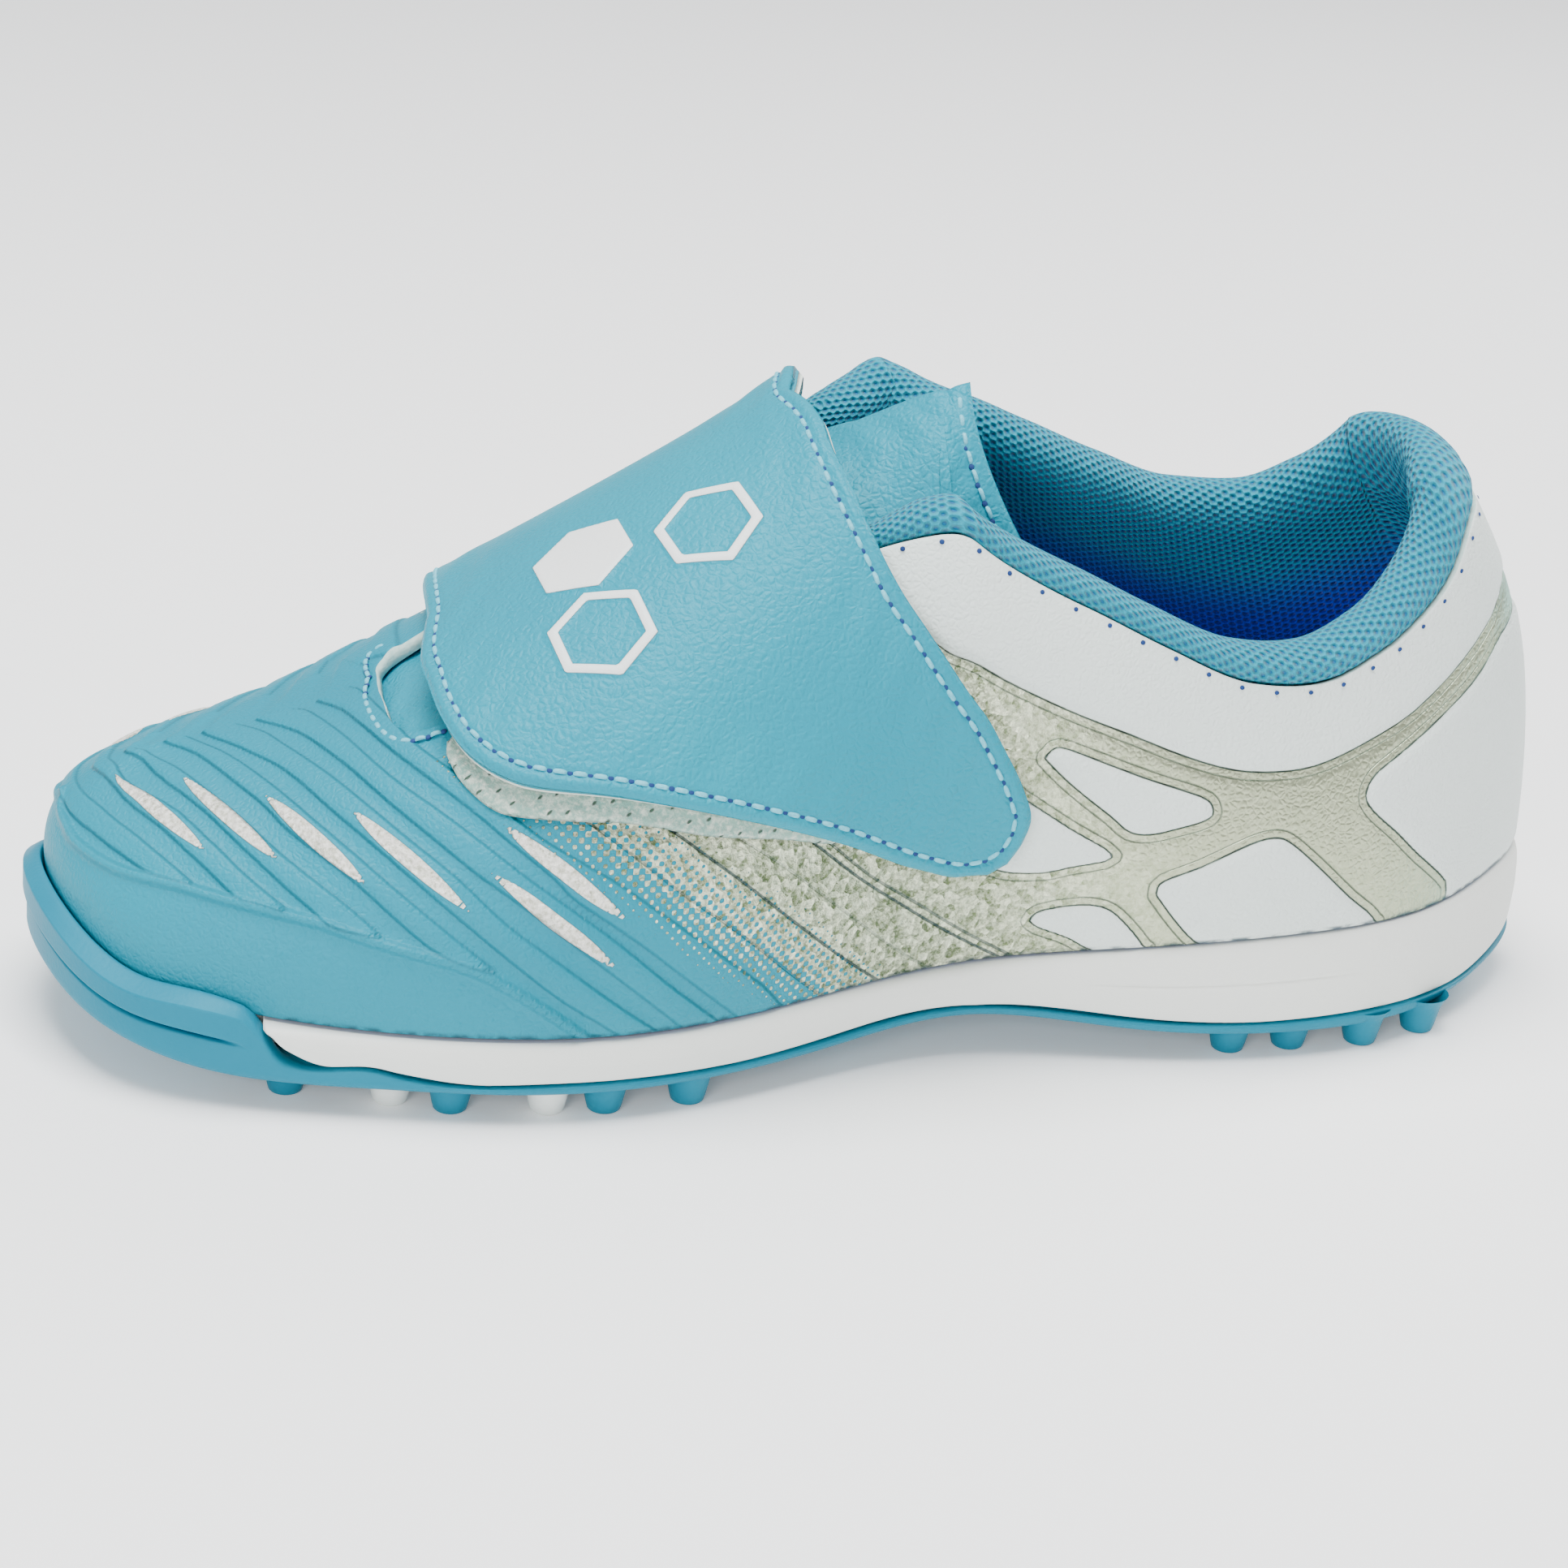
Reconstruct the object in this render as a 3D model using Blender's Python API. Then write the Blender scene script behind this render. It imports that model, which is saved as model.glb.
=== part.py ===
"""Left turf shoe: rubber outsole, midsole, hollow upper, padded collar, tongue and strap.

Metres, +X towards the toe, +Y towards the outer side of the foot, +Z up.
The soles' outline and every meridian of the upper come from three short tables.
"""

import bpy
import bmesh
import numpy as np

# Driving sizes, metres

LENGTH = 0.2066
BALL_WIDTH = 0.0785
INSTEP_HEIGHT = 0.0800
HEEL_HEIGHT = 0.0195
GAP = 0.0003
WALL = 0.0018
STUD_HEIGHT = 0.0040
STUD_ROOT = 0.0031
STUD_TIP = 0.0021
BUMPER_WALL = 0.0030
RIM_WALL = 0.0016
PLATE_THICK = 0.0024
BUMPER_LIP = 0.0012
SHOULDER = 0.0045
GROOVE_DEPTH = 0.0008
EDGE_ROUND = 0.0014
FEATHER_INSET = 0.0012
LASTING_MARGIN = 0.0065
INSOLE_THICK = 0.0030
TONGUE_THICK = 0.0032
TONGUE_EDGE = 0.0012
STRAP_THICK = 0.0026
PATCH_THICK = 0.0009
PATCH_LIFT = 0.00045
MIDDLE_ALONG = 0.1033
MIDDLE_ACROSS = -0.0019

COLUMNS_PER_STATION = 3
WALL_ROWS = 9
RUNGS = 4
SHARP_ANGLE = 50

# Outline and heights of the sole, one row per station from toe tip to heel:
# along the length, lateral and medial reach in ball widths,
# then base, split and feather heights in heel heights.
SOLE_TABLE = (
    # along_lat, lateral, along_med, medial, base, split, feather
    (1.0000, -0.070, 1.0000, -0.070, 0.560, 1.070, 0.820),
    (0.9850, 0.134, 0.9785, -0.260, 0.440, 0.925, 0.770),
    (0.9490, 0.274, 0.9345, -0.395, 0.320, 0.770, 0.700),
    (0.8910, 0.358, 0.8765, -0.472, 0.220, 0.700, 0.625),
    (0.8090, 0.424, 0.7990, -0.516, 0.205, 0.330, 0.585),
    (0.7165, 0.475, 0.7070, -0.522, 0.205, 0.275, 0.580),
    (0.6200, 0.455, 0.6100, -0.465, 0.205, 0.275, 0.580),
    (0.5230, 0.372, 0.5130, -0.357, 0.225, 0.295, 0.615),
    (0.4260, 0.325, 0.4210, -0.287, 0.320, 0.385, 0.710),
    (0.3245, 0.366, 0.3245, -0.312, 0.235, 0.305, 0.825),
    (0.2230, 0.390, 0.2230, -0.363, 0.190, 0.275, 0.915),
    (0.1260, 0.340, 0.1260, -0.332, 0.190, 0.290, 0.945),
    (0.0470, 0.196, 0.0470, -0.194, 0.240, 0.300, 0.985),
    (0.0000, 0.005, 0.0000, 0.005, 0.310, 0.390, 1.000),
)

# Crest of the closed form, same stations: along, across, height in instep
# heights, then how full each side is: reach and rise of the lower and upper
# handle, the reaches in ball widths and the rises in instep heights.
CREST_TABLE = (
    # along, across, height, low_reach, low_rise, high_reach, high_drop, high_reach_medial
    (0.9150, -0.090, 0.446, 0.052, 0.145, 0.130, 0.000, 0.130),
    (0.9060, -0.090, 0.450, 0.046, 0.145, 0.165, 0.000, 0.165),
    (0.8750, -0.085, 0.470, 0.040, 0.165, 0.225, 0.000, 0.225),
    (0.8220, -0.070, 0.514, 0.034, 0.200, 0.275, 0.000, 0.275),
    (0.7600, -0.055, 0.601, 0.034, 0.260, 0.310, 0.000, 0.310),
    (0.6850, -0.045, 0.720, 0.036, 0.300, 0.330, 0.000, 0.330),
    (0.6050, -0.045, 0.850, 0.040, 0.325, 0.345, 0.000, 0.345),
    (0.5250, -0.060, 0.990, 0.058, 0.330, 0.370, 0.000, 0.370),
    (0.4550, -0.070, 1.130, 0.085, 0.310, 0.430, 0.010, 0.430),
    (0.3900, -0.030, 1.250, 0.065, 0.270, 0.390, 0.290, 0.390),
    (0.3150, 0.000, 1.290, 0.045, 0.240, 0.350, 0.450, 0.350),
    (0.2600, 0.000, 1.280, 0.020, 0.280, 0.360, 0.400, 0.360),
    (0.2250, 0.000, 1.262, 0.006, 0.330, 0.435, 0.360, 0.435),
    (0.2150, 0.000, 1.262, -0.006, 0.345, 0.475, 0.350, 0.475),
)

STATIONS = len(SOLE_TABLE) - 1
ROUND = 2 * STATIONS
COLUMNS = ROUND * COLUMNS_PER_STATION

# Where the wall of the upper ends: share of the meridian open at the crest,
# for the lateral and the medial side, read between the stations named.
EDGE_TABLE = (
    # station, lateral, medial
    (3.600, 0.000, 0.000),
    (3.650, 0.060, 0.030),
    (3.720, 0.110, 0.050),
    (3.800, 0.175, 0.065),
    (3.920, 0.235, 0.075),
    (4.150, 0.272, 0.085),
    (4.50, 0.280, 0.100),
    (5.50, 0.300, 0.150),
    (6.30, 0.330, 0.210),
    (7.00, 0.363, 0.280),
    (7.50, 0.385, 0.325),
    (8.00, 0.397, 0.325),
    (8.50, 0.410, 0.312),
    (9.00, 0.436, 0.310),
    (9.50, 0.476, 0.332),
    (10.00, 0.520, 0.376),
    (10.50, 0.535, 0.430),
    (11.00, 0.513, 0.446),
    (11.50, 0.470, 0.412),
    (12.00, 0.420, 0.374),
    (12.50, 0.368, 0.350),
    (13.00, 0.342, 0.342),
)


def smooth(values, knots, rows):
    """Monotone cubic through a short table, flat beyond both ends."""
    knots = np.asarray(knots, float)
    rows = np.asarray(rows, float)
    step = np.diff(knots)
    slope = np.diff(rows) / step
    lead = slope[:-1]
    tail = slope[1:]
    same = lead * tail > 0
    mean = np.where(same, 2 * lead * tail / np.where(same, lead + tail, 1), 0)
    grade = np.concatenate(([0 if len(slope) < 2 else slope[0]], mean, [slope[-1]]))
    values = np.clip(values, knots[0], knots[-1])
    cell = np.clip(np.searchsorted(knots, values, side="right") - 1, 0, len(step) - 1)
    width = step[cell]
    t = (values - knots[cell]) / width
    start = rows[cell] * (1 + 2 * t) * (1 - t) ** 2 + grade[cell] * width * t * (1 - t) ** 2
    end = rows[cell + 1] * t * t * (3 - 2 * t) + grade[cell + 1] * width * t * t * (t - 1)
    return start + end


def ring_spline(rows, where):
    """Cubic through rows that close on themselves; where counts in rows."""
    rows = np.asarray(rows, float)
    count = len(rows)
    unit = np.eye(count)
    system = 4 * unit + np.roll(unit, 1, 0) + np.roll(unit, -1, 0)
    bend = 6 * (np.roll(rows, -1, 0) - 2 * rows + np.roll(rows, 1, 0))
    curve = np.linalg.solve(system, bend)
    where = np.asarray(where, float) % count
    low = np.floor(where).astype(int) % count
    high = (low + 1) % count
    t = (where - np.floor(where))[..., None]
    s = 1 - t
    line = s * rows[low] + t * rows[high]
    return line + ((s ** 3 - s) * curve[low] + (t ** 3 - t) * curve[high]) / 6


def around(lateral, medial):
    """Rows of both sides in one ring: toe tip, lateral side, heel, medial side."""
    return np.vstack((lateral, medial[-2:0:-1]))


SOLE = np.array(SOLE_TABLE)
CREST = np.array(CREST_TABLE)
EDGE = np.array(EDGE_TABLE)
MIDDLE = np.array((MIDDLE_ALONG, MIDDLE_ACROSS))
OUTLINE_KNOTS = around(SOLE[:, 0:2], SOLE[:, 2:4]) * (LENGTH, BALL_WIDTH) - MIDDLE
HEIGHT_KNOTS = around(SOLE[:, 4:7], SOLE[:, 4:7]) * HEEL_HEIGHT
CREST_SCALE = (LENGTH, BALL_WIDTH, INSTEP_HEIGHT, BALL_WIDTH, INSTEP_HEIGHT, BALL_WIDTH, INSTEP_HEIGHT)
CREST_KNOTS = around(CREST[:, :7], CREST[:, (0, 1, 2, 3, 4, 7, 6)]) * CREST_SCALE
CREST_KNOTS[:, :2] -= MIDDLE


def outline(where, inset=0.0):
    """Plan outline of the sole and its outward direction, moved inwards by inset."""
    where = np.asarray(where, float)
    here = ring_spline(OUTLINE_KNOTS, where)
    run = ring_spline(OUTLINE_KNOTS, where + 0.02) - ring_spline(OUTLINE_KNOTS, where - 0.02)
    run = run / np.linalg.norm(run, axis=-1, keepdims=True)
    out = np.stack((run[..., 1], -run[..., 0]), -1)
    return here - out * np.asarray(inset)[..., None], out


def shoulder(where):
    """How far the end of the toe wrap drops below the smooth run of the table."""
    ring = np.asarray(where, float) % ROUND
    past = np.minimum(ring, ROUND - ring) - 3
    drop = np.clip(past * 3, 0, 1)
    back = np.clip((past * 3 - 1) / 2, 0, 1)
    return SHOULDER * drop * drop * (3 - 2 * drop) * (1 - back * back * (3 - 2 * back))


def heights(where):
    """Base, split and feather height of the sole at each place round it."""
    level = ring_spline(HEIGHT_KNOTS, where)
    return level[..., 0], level[..., 1] - shoulder(where), level[..., 2]


def toe_share(where):
    """One inside the rubber toe wrap, nought behind it."""
    ring = np.asarray(where, float) % ROUND
    fold = np.minimum(ring, ROUND - ring)
    return np.clip((3.75 - fold) / 0.55, 0, 1)


def foot_inset(where):
    """How far the upper's foot stands in from the outline of the sole."""
    ring = np.asarray(where, float) % ROUND
    fold = np.minimum(ring, ROUND - ring)
    share = np.clip((4.4 - fold) / 2.2, 0, 1)
    share = share * share * (3 - 2 * share)
    return FEATHER_INSET + (BUMPER_WALL + GAP - FEATHER_INSET) * share


def meridian(where, share):
    """Closed form of the foot: a cubic from the feather edge to the crest."""
    where = np.asarray(where, float)
    share = np.asarray(share, float)[..., None]
    foot, out = outline(where, foot_inset(where))
    level = heights(where)[2]
    crest = ring_spline(CREST_KNOTS, where)
    ring = where % ROUND
    fold = np.clip(np.minimum(ring, ROUND - ring), 0.6, STATIONS - 0.8)
    ahead = ring_spline(CREST_KNOTS, fold - 0.3)
    behind = ring_spline(CREST_KNOTS, fold + 0.3)
    slope = (ahead[..., 2] - behind[..., 2]) / (ahead[..., 0] - behind[..., 0])
    p0 = np.concatenate((foot, level[..., None]), -1)
    p1 = p0.copy()
    p1[..., :2] += out * crest[..., 3:4]
    p1[..., 2] += crest[..., 4]
    p3 = crest[..., :3]
    p2 = p3.copy()
    p2[..., :2] += out * crest[..., 5:6]
    p2[..., 2] += out[..., 0] * slope * crest[..., 5] - crest[..., 6]
    rest = 1 - share
    body = rest ** 3 * p0 + 3 * rest ** 2 * share * p1
    return body + 3 * rest * share ** 2 * p2 + share ** 3 * p3


def outward(where, share):
    """Unit normal of the closed form, from its own small steps."""
    step = 0.02
    near = np.minimum(share, 0.985)
    along = meridian(where + step, near) - meridian(where - step, near)
    low = np.clip(share - step, 0, 1)
    high = np.clip(share + step, 0, 1)
    rise = meridian(where, high) - meridian(where, low)
    normal = np.cross(along, rise)
    size = np.linalg.norm(normal, axis=-1, keepdims=True)
    return normal / np.maximum(size, 1e-12)


def skin(where, share, lift=0.0):
    """Point on the closed form, moved outwards by lift; both sides agree at the crest."""
    where, share = np.broadcast_arrays(np.asarray(where, float), np.asarray(share, float))
    normal = outward(where, share)
    twin = normal + outward(ROUND - where, share)
    twin = twin / np.linalg.norm(twin, axis=-1, keepdims=True)
    normal = np.where((share > 0.9995)[..., None], twin, normal)
    lift = np.broadcast_to(np.asarray(lift, float), share.shape)
    return meridian(where, share) + normal * lift[..., None]


def edge_share(where):
    """Share of the meridian at which the upper's wall ends."""
    ring = np.asarray(where, float) % ROUND
    lateral = 1 - smooth(ring, EDGE[:, 0], EDGE[:, 1])
    medial = 1 - smooth(ROUND - ring, EDGE[:, 0], EDGE[:, 2])
    return np.where(ring <= STATIONS, lateral, medial)


def new_object(name, points, faces, material):
    """Closed mesh from points and faces, welded, every face turned outwards."""
    mesh = bpy.data.meshes.new(name)
    mesh.from_pydata([tuple(point) for point in points], [], faces)
    work = bmesh.new()
    work.from_mesh(mesh)
    bmesh.ops.remove_doubles(work, verts=work.verts, dist=2e-6)
    bmesh.ops.dissolve_degenerate(work, edges=work.edges, dist=1e-6)
    bmesh.ops.recalc_face_normals(work, faces=work.faces)
    work.to_mesh(mesh)
    work.free()
    mesh.polygons.foreach_set("use_smooth", [True] * len(mesh.polygons))
    mesh.set_sharp_from_angle(angle=np.radians(SHARP_ANGLE))
    mesh.materials.append(material)
    thing = bpy.data.objects.new(name, mesh)
    parts.objects.link(thing)
    return thing


def plain_material(name, color, roughness):
    """Flat Principled material for one slot."""
    material = bpy.data.materials.new(name)
    material.use_nodes = True
    shader = material.node_tree.nodes["Principled BSDF"]
    shader.inputs["Base Color"].default_value = (*color, 1.0)
    shader.inputs["Roughness"].default_value = roughness
    material.diffuse_color = (*color, 1.0)
    return material


def grid_faces(rows, columns, start=0, wrap=False):
    """Quads between neighbouring rows of a grid laid out row by row."""
    faces = []
    last = columns if wrap else columns - 1
    for row in range(rows - 1):
        for column in range(last):
            after = (column + 1) % columns
            a = start + row * columns
            b = a + columns
            faces.append((a + column, a + after, b + after, b + column))
    return faces


def rung_points(ring, rungs):
    """Points of a cap laid as rungs between the lateral and the medial side."""
    half = len(ring) // 2
    inner = []
    for step in range(1, half):
        left = ring[step]
        right = ring[-step]
        for rung in range(1, rungs):
            inner.append(left + (right - left) * rung / rungs)
    return inner


def rung_faces(count, rungs, first, inner):
    """Faces of that cap; first is the ring's start, inner the start of its points."""
    half = count // 2

    def at(step, rung):
        if rung == 0 or step in (0, half):
            return first + step
        if rung == rungs:
            return first + count - step
        return inner + (step - 1) * (rungs - 1) + rung - 1

    faces = []
    for step in range(half):
        for rung in range(rungs):
            corners = [at(step, rung), at(step + 1, rung), at(step + 1, rung + 1), at(step, rung + 1)]
            kept = [corner for spot, corner in enumerate(corners) if corner not in corners[:spot]]
            if len(kept) > 2:
                faces.append(tuple(kept))
    return faces


def ring_solid(name, rings, material, rungs=RUNGS):
    """Solid from a stack of rings, both ends closed with rungs across."""
    count = len(rings[0])
    points = [point for ring in rings for point in ring]
    faces = grid_faces(len(rings), count, 0, True)
    for ring, first in ((rings[0], 0), (rings[-1], (len(rings) - 1) * count)):
        inner = len(points)
        points.extend(rung_points(ring, rungs))
        faces.extend(rung_faces(count, rungs, first, inner))
    return new_object(name, points, faces, material)


def level_ring(where, inset, height):
    """Ring of the sole at an inset from its outline and a height."""
    flat = outline(where, inset)[0]
    height = np.broadcast_to(height, flat.shape[:-1])
    return np.concatenate((flat, height[..., None]), -1)


# Clean scene and two collections

for thing in list(bpy.data.objects):
    bpy.data.objects.remove(thing, do_unlink=True)
parts = bpy.data.collections.new("turf_shoe")
cutters = bpy.data.collections.new("cutters")
bpy.context.scene.collection.children.link(parts)
bpy.context.scene.collection.children.link(cutters)

RUBBER = plain_material("blue_rubber", (0.10, 0.52, 0.62), 0.55)
FOAM = plain_material("white_foam", (0.80, 0.82, 0.80), 0.60)
LEATHER = plain_material("coated_upper", (0.16, 0.60, 0.68), 0.45)
MESH = plain_material("lining_mesh", (0.08, 0.45, 0.62), 0.85)
STRAP = plain_material("strap_synthetic", (0.16, 0.60, 0.68), 0.45)
LOOP = plain_material("loop_fabric", (0.66, 0.72, 0.66), 0.90)
BOARD = plain_material("insole_fabric", (0.05, 0.22, 0.55), 0.90)

WHERE = np.arange(COLUMNS) / COLUMNS_PER_STATION
BASE, SPLIT, FEATHER = heights(WHERE)
TOE = toe_share(WHERE)

# Outsole: rubber plate under the foam, rising to a grooved wrap round the toe


def share_at(where, height):
    """Share of each meridian at which it reaches a height."""
    steps = np.linspace(0, 0.6, 61)
    levels = meridian(where[:, None], steps[None, :])[..., 2]
    return np.array([np.interp(goal, level, steps) for goal, level in zip(height, levels)])


def blend(first, second, share):
    """Ring between two rings, column by column."""
    return first + (second - first) * share[:, None]


WRAP = np.clip((SPLIT - FEATHER) / 0.0010, 0, 1)
RIM = RIM_WALL + (BUMPER_WALL - RIM_WALL) * TOE
PLATE_TOP = BASE + PLATE_THICK
REACH = SPLIT - BASE
AT_SPLIT = share_at(WHERE, SPLIT)
LIP_OUT = blend(level_ring(WHERE, 0.0002, SPLIT), skin(WHERE, AT_SPLIT, GAP + BUMPER_LIP), WRAP)
LIP_IN = blend(level_ring(WHERE, RIM, SPLIT), skin(WHERE, AT_SPLIT, GAP), WRAP)
STEEP = np.abs(np.roll(SPLIT, -1) - np.roll(SPLIT, 1)) * 0.2
LEDGE = np.minimum(SPLIT + GAP * 1.5 + STEEP, FEATHER - 0.0012)
BACK = blend(level_ring(WHERE, RIM + 0.0003, SPLIT + (PLATE_TOP - SPLIT) * 0.2),
             level_ring(WHERE, RIM, LEDGE - 0.0006), WRAP)
outsole = ring_solid("outsole", (
    level_ring(WHERE, EDGE_ROUND, BASE),
    level_ring(WHERE, EDGE_ROUND * 0.3, BASE + EDGE_ROUND * 0.4),
    level_ring(WHERE, 0.0, BASE + 0.0003 + REACH * 0.42),
    level_ring(WHERE, GROOVE_DEPTH * TOE, BASE + 0.0004 + REACH * 0.47),
    level_ring(WHERE, 0.0001, BASE + 0.0004 + REACH * 0.55),
    LIP_OUT,
    LIP_IN,
    BACK,
    level_ring(WHERE, RIM + 0.0015, PLATE_TOP),
), RUBBER)

# Studs: two rows of cones along each side and a row down the middle

STUD_TABLE = (
    # along, across in ball widths
    (0.893, -0.330), (0.893, -0.100), (0.893, 0.110),
    (0.858, 0.285), (0.850, -0.400), (0.850, -0.190), (0.850, 0.020), (0.798, 0.345),
    (0.805, -0.440), (0.803, -0.240), (0.800, -0.040), (0.800, 0.160), (0.764, 0.385),
    (0.752, -0.455), (0.752, -0.260), (0.750, -0.060), (0.750, 0.150), (0.706, 0.408),
    (0.700, -0.450), (0.700, -0.250), (0.700, -0.050), (0.700, 0.170), (0.671, 0.415),
    (0.645, -0.410), (0.645, -0.210), (0.645, -0.010), (0.640, 0.190), (0.617, 0.400),
    (0.248, 0.325), (0.262, -0.270), (0.250, 0.090), (0.250, -0.110), (0.206, 0.325),
    (0.205, -0.300), (0.190, 0.090), (0.190, -0.110), (0.155, 0.325), (0.150, -0.290),
    (0.125, 0.080), (0.125, -0.110), (0.108, 0.290), (0.098, -0.230), (0.066, -0.070),
    (0.066, 0.110),
)

STUD_SIDES = 8


def cone_ring(x, y, z, radius):
    """Ring of points round an upright axis."""
    turn = np.arange(STUD_SIDES) * 2 * np.pi / STUD_SIDES
    return np.stack((x + radius * np.cos(turn), y + radius * np.sin(turn), np.full(STUD_SIDES, z)), -1)


points = []
faces = []
for along, across in STUD_TABLE:
    x = along * LENGTH - MIDDLE_ALONG
    y = across * BALL_WIDTH - MIDDLE_ACROSS
    start = len(points)
    points.extend(cone_ring(x, y, 0.0, STUD_TIP))
    points.extend(cone_ring(x, y, STUD_HEIGHT + 0.0014, STUD_ROOT))
    faces.extend(grid_faces(2, STUD_SIDES, start, True))
    faces.append(tuple(range(start, start + STUD_SIDES)))
    faces.append(tuple(range(start + STUD_SIDES, start + 2 * STUD_SIDES)))
studs = new_object("stud_cones", points, faces, RUBBER)
parts.objects.unlink(studs)
cutters.objects.link(studs)
studs.hide_render = True
studs.display_type = "WIRE"
join = outsole.modifiers.new("studs", "BOOLEAN")
join.operation = "UNION"
join.solver = "EXACT"
join.object = studs

# Midsole: foam core behind the toe wrap, flush with the outline elsewhere

SHOW = np.clip((FEATHER - SPLIT - 0.0008) / 0.0010, 0, 1)
BEHIND = RIM + GAP * TOE - 0.0004 * (1 - TOE) + STEEP
TOP_INSET = (BEHIND + 0.0001) * (1 - SHOW) + 0.0002 * SHOW
SEAT = FEATHER - GAP
BOARD_INSET = foot_inset(WHERE) + LASTING_MARGIN + GAP
midsole = ring_solid("midsole", (
    level_ring(WHERE, RIM + 0.0015 + GAP + STEEP, PLATE_TOP + GAP * 1.4),
    level_ring(WHERE, BEHIND, LEDGE - 0.00005),
    level_ring(WHERE, TOP_INSET, LEDGE),
    level_ring(WHERE, TOP_INSET - 0.0002 * SHOW, (LEDGE + SEAT) / 2),
    level_ring(WHERE, TOP_INSET + 0.0004 * SHOW, SEAT),
    level_ring(WHERE, BOARD_INSET, SEAT),
    level_ring(WHERE, BOARD_INSET + 0.0004, SEAT + WALL + GAP),
), FOAM)

# Insole: soft sheet lying on the board and the turned margin of the upper

SOCK_INSET = foot_inset(WHERE) + WALL + 0.0032
insole = ring_solid("insole", (
    level_ring(WHERE, SOCK_INSET + 0.0003, FEATHER + WALL + 0.0009),
    level_ring(WHERE, SOCK_INSET, FEATHER + WALL + 0.0013),
    level_ring(WHERE, SOCK_INSET, FEATHER + WALL + INSOLE_THICK),
    level_ring(WHERE, SOCK_INSET + 0.0006, FEATHER + WALL + INSOLE_THICK + 0.0005),
), BOARD)

# Upper: one hollow wall, turned under at the foot, open at the top and below

SLOT = EDGE[:5, 0]
SLOT = np.concatenate((SLOT, ROUND - SLOT))
CLEAR = np.abs(WHERE[:, None] - SLOT[None, :]).min(1) > 0.03
CUT = np.sort(np.concatenate((WHERE[CLEAR], SLOT)))
EDGE_AT = edge_share(CUT)


def upper_profile(where, edge):
    """Rows of the upper at each column: under the foot, up outside, down inside."""
    inset = foot_inset(where)
    level = heights(where)[2]
    rows = [level_ring(where, inset + LASTING_MARGIN, level)]
    rows.append(level_ring(where, inset + 0.0009, level))
    spread = np.linspace(0.035, 1.0, WALL_ROWS)
    fold = np.minimum(where, ROUND - where)
    late = 2.2 * np.clip((6.5 - fold) / 2, 0, 1)
    for share in spread:
        rows.append(skin(where, share * (1 - (1 - edge) * share ** late)))
    for share in spread[::-1]:
        inner = skin(where, share * (1 - (1 - edge) * share ** late), -WALL)
        inner[..., 2] = np.maximum(inner[..., 2], level + WALL + 0.0006)
        rows.append(inner)
    rows.append(level_ring(where, inset + WALL + 0.0016, level + WALL))
    rows.append(level_ring(where, inset + LASTING_MARGIN, level + WALL))
    return rows


ROWS = upper_profile(CUT, EDGE_AT)
HIGH = 1 + WALL_ROWS
count = len(CUT)
points = [point for row in ROWS for point in row]
faces = []
for row in range(len(ROWS)):
    below = row * count
    above = (row + 1) % len(ROWS) * count
    for column in range(count):
        after = (column + 1) % count
        if row == HIGH and EDGE_AT[column] > 0.9999 and EDGE_AT[after] > 0.9999:
            continue
        faces.append((below + column, below + after, above + after, above + column))
upper = new_object("upper", points, faces, LEATHER)


def sheet_solid(name, outer, inner, material):
    """Solid between two grids of equal size, closed round all four sides."""
    rows, columns = outer.shape[:2]
    points = np.concatenate((outer.reshape(-1, 3), inner.reshape(-1, 3)))
    half = rows * columns
    faces = grid_faces(rows, columns) + grid_faces(rows, columns, half)
    for row in range(rows - 1):
        for column in (0, columns - 1):
            a = row * columns + column
            faces.append((a, a + columns, a + columns + half, a + half))
    for column in range(columns - 1):
        for row in (0, rows - 1):
            a = row * columns + column
            faces.append((a, a + 1, a + 1 + half, a + half))
    return new_object(name, points, faces, material)


def across_skin(station, across, lift):
    """Point over the instep: across is the share from the crest, + to the lateral side."""
    where = np.where(across >= 0, station, ROUND - station)
    return skin(where, 1 - np.abs(across), lift)


# Tongue: padded sheet under the throat, its tip inside the collar

TONGUE_TABLE = (
    # medial station, medial across, lateral station, lateral across, medial depth, lateral depth
    (3.20, -0.140, 3.20, 0.200, 0.0023, 0.0023),
    (3.60, -0.160, 3.60, 0.290, 0.0023, 0.0023),
    (4.20, -0.180, 4.20, 0.350, 0.0024, 0.0024),
    (5.00, -0.210, 5.00, 0.370, 0.0024, 0.0025),
    (5.90, -0.230, 6.00, 0.395, 0.0026, 0.0034),
    (6.50, -0.180, 6.65, 0.410, 0.0034, 0.0060),
    (6.95, -0.075, 7.30, 0.400, 0.0046, 0.0086),
    (7.46, 0.020, 7.95, 0.400, 0.0055, 0.0092),
    (8.00, 0.075, 8.50, 0.400, 0.0060, 0.0094),
    (8.40, 0.096, 8.95, 0.400, 0.0060, 0.0094),
)
TONGUE = np.array(TONGUE_TABLE)
TONGUE_ROWS = 19
TONGUE_COLUMNS = 8
knots = np.arange(len(TONGUE))
spot = np.linspace(0, len(TONGUE) - 1, TONGUE_ROWS)[:, None]
line = [smooth(spot, knots, TONGUE[:, column]) for column in range(6)]
span = np.linspace(0, 1, TONGUE_COLUMNS)[None, :]
station = line[0] + (line[2] - line[0]) * span
across = line[1] + (line[3] - line[1]) * span
depth = line[4] + (line[5] - line[4]) * span
swell = (1 - (2 * span - 1) ** 4) * np.clip(spot / 1.5, 0.2, 1)
pad = TONGUE_EDGE + (TONGUE_THICK - TONGUE_EDGE) * swell
top = across_skin(station, across, -depth)
low = across_skin(station, across, -depth - pad)
tongue = sheet_solid("tongue", top, low, MESH)

# Collar: padded roll along the top line, its lining hanging down inside

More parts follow.
